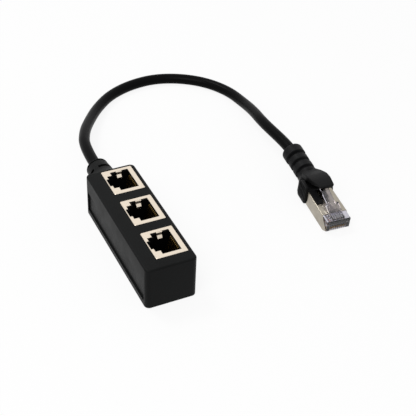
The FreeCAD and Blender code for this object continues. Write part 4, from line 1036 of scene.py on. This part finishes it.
table_top = bpy.data.materials.new("white_table_top")
table_top.use_nodes = True
tree = table_top.node_tree
tree.nodes.clear()
seen = room_ray(tree)
share = add(
    tree, "ShaderNodeMath", {"operation": "MULTIPLY", 1: FLOOR_WHITENESS}, {0: (seen, "Value")}
)
matt = add(tree, "ShaderNodeBsdfDiffuse", {"Color": linear("f4f4f4")})
white = add(tree, "ShaderNodeEmission", {"Color": (1, 1, 1, 1), "Strength": 1.0})
both = add(
    tree,
    "ShaderNodeMixShader",
    links={0: (share, "Value"), 1: (matt, "BSDF"), 2: (white, "Emission")},
)
add(tree, "ShaderNodeOutputMaterial", links={"Surface": (both, "Shader")})

half = FLOOR_SIZE / 2
floor_mesh = bpy.data.meshes.new("floor")
floor_mesh.from_pydata(
    [(-half, -half, 0), (half, -half, 0), (half, half, 0), (-half, half, 0)], [], [(0, 1, 2, 3)]
)
floor_mesh.materials.append(table_top)
floor = bpy.data.objects.new("floor", floor_mesh)
bpy.context.scene.collection.objects.link(floor)

world = bpy.data.worlds.new("room")
world.use_nodes = True
tree = world.node_tree
tree.nodes.clear()
seen = room_ray(tree)
strength = add(
    tree,
    "ShaderNodeMapRange",
    {"To Min": SKY_LEVEL, "To Max": 1.0},
    {"Value": (seen, "Value")},
)
room = add(
    tree, "ShaderNodeBackground", {"Color": (1, 1, 1, 1)}, {"Strength": (strength, "Result")}
)
add(tree, "ShaderNodeOutputWorld", links={"Surface": (room, "Background")})
bpy.context.scene.world = world


def soft_lamp(name, place, side_length, power):
    """A square lamp at a place, turned to face the middle of the object."""
    data = bpy.data.lights.new(name, "AREA")
    data.shape = "RECTANGLE"
    data.size = data.size_y = side_length
    data.energy = power
    lamp = bpy.data.objects.new(name, data)
    bpy.context.scene.collection.objects.link(lamp)
    away = np.array(place) - np.array(LAMP_TARGET)
    away = away / np.linalg.norm(away)
    side = np.cross((0, 0, 1), away)
    side = side / np.linalg.norm(side)
    pose = np.eye(4)
    pose[:3, 0], pose[:3, 1], pose[:3, 2], pose[:3, 3] = side, np.cross(away, side), away, place
    lamp.matrix_world = Matrix(pose.tolist())


soft_lamp("front_left_lamp", FRONT_LAMP_PLACE, FRONT_LAMP_SIDE, FRONT_LAMP_POWER)
soft_lamp("rear_left_lamp", REAR_LAMP_PLACE, REAR_LAMP_SIDE, REAR_LAMP_POWER)

bpy.context.scene.view_settings.view_transform = "Standard"
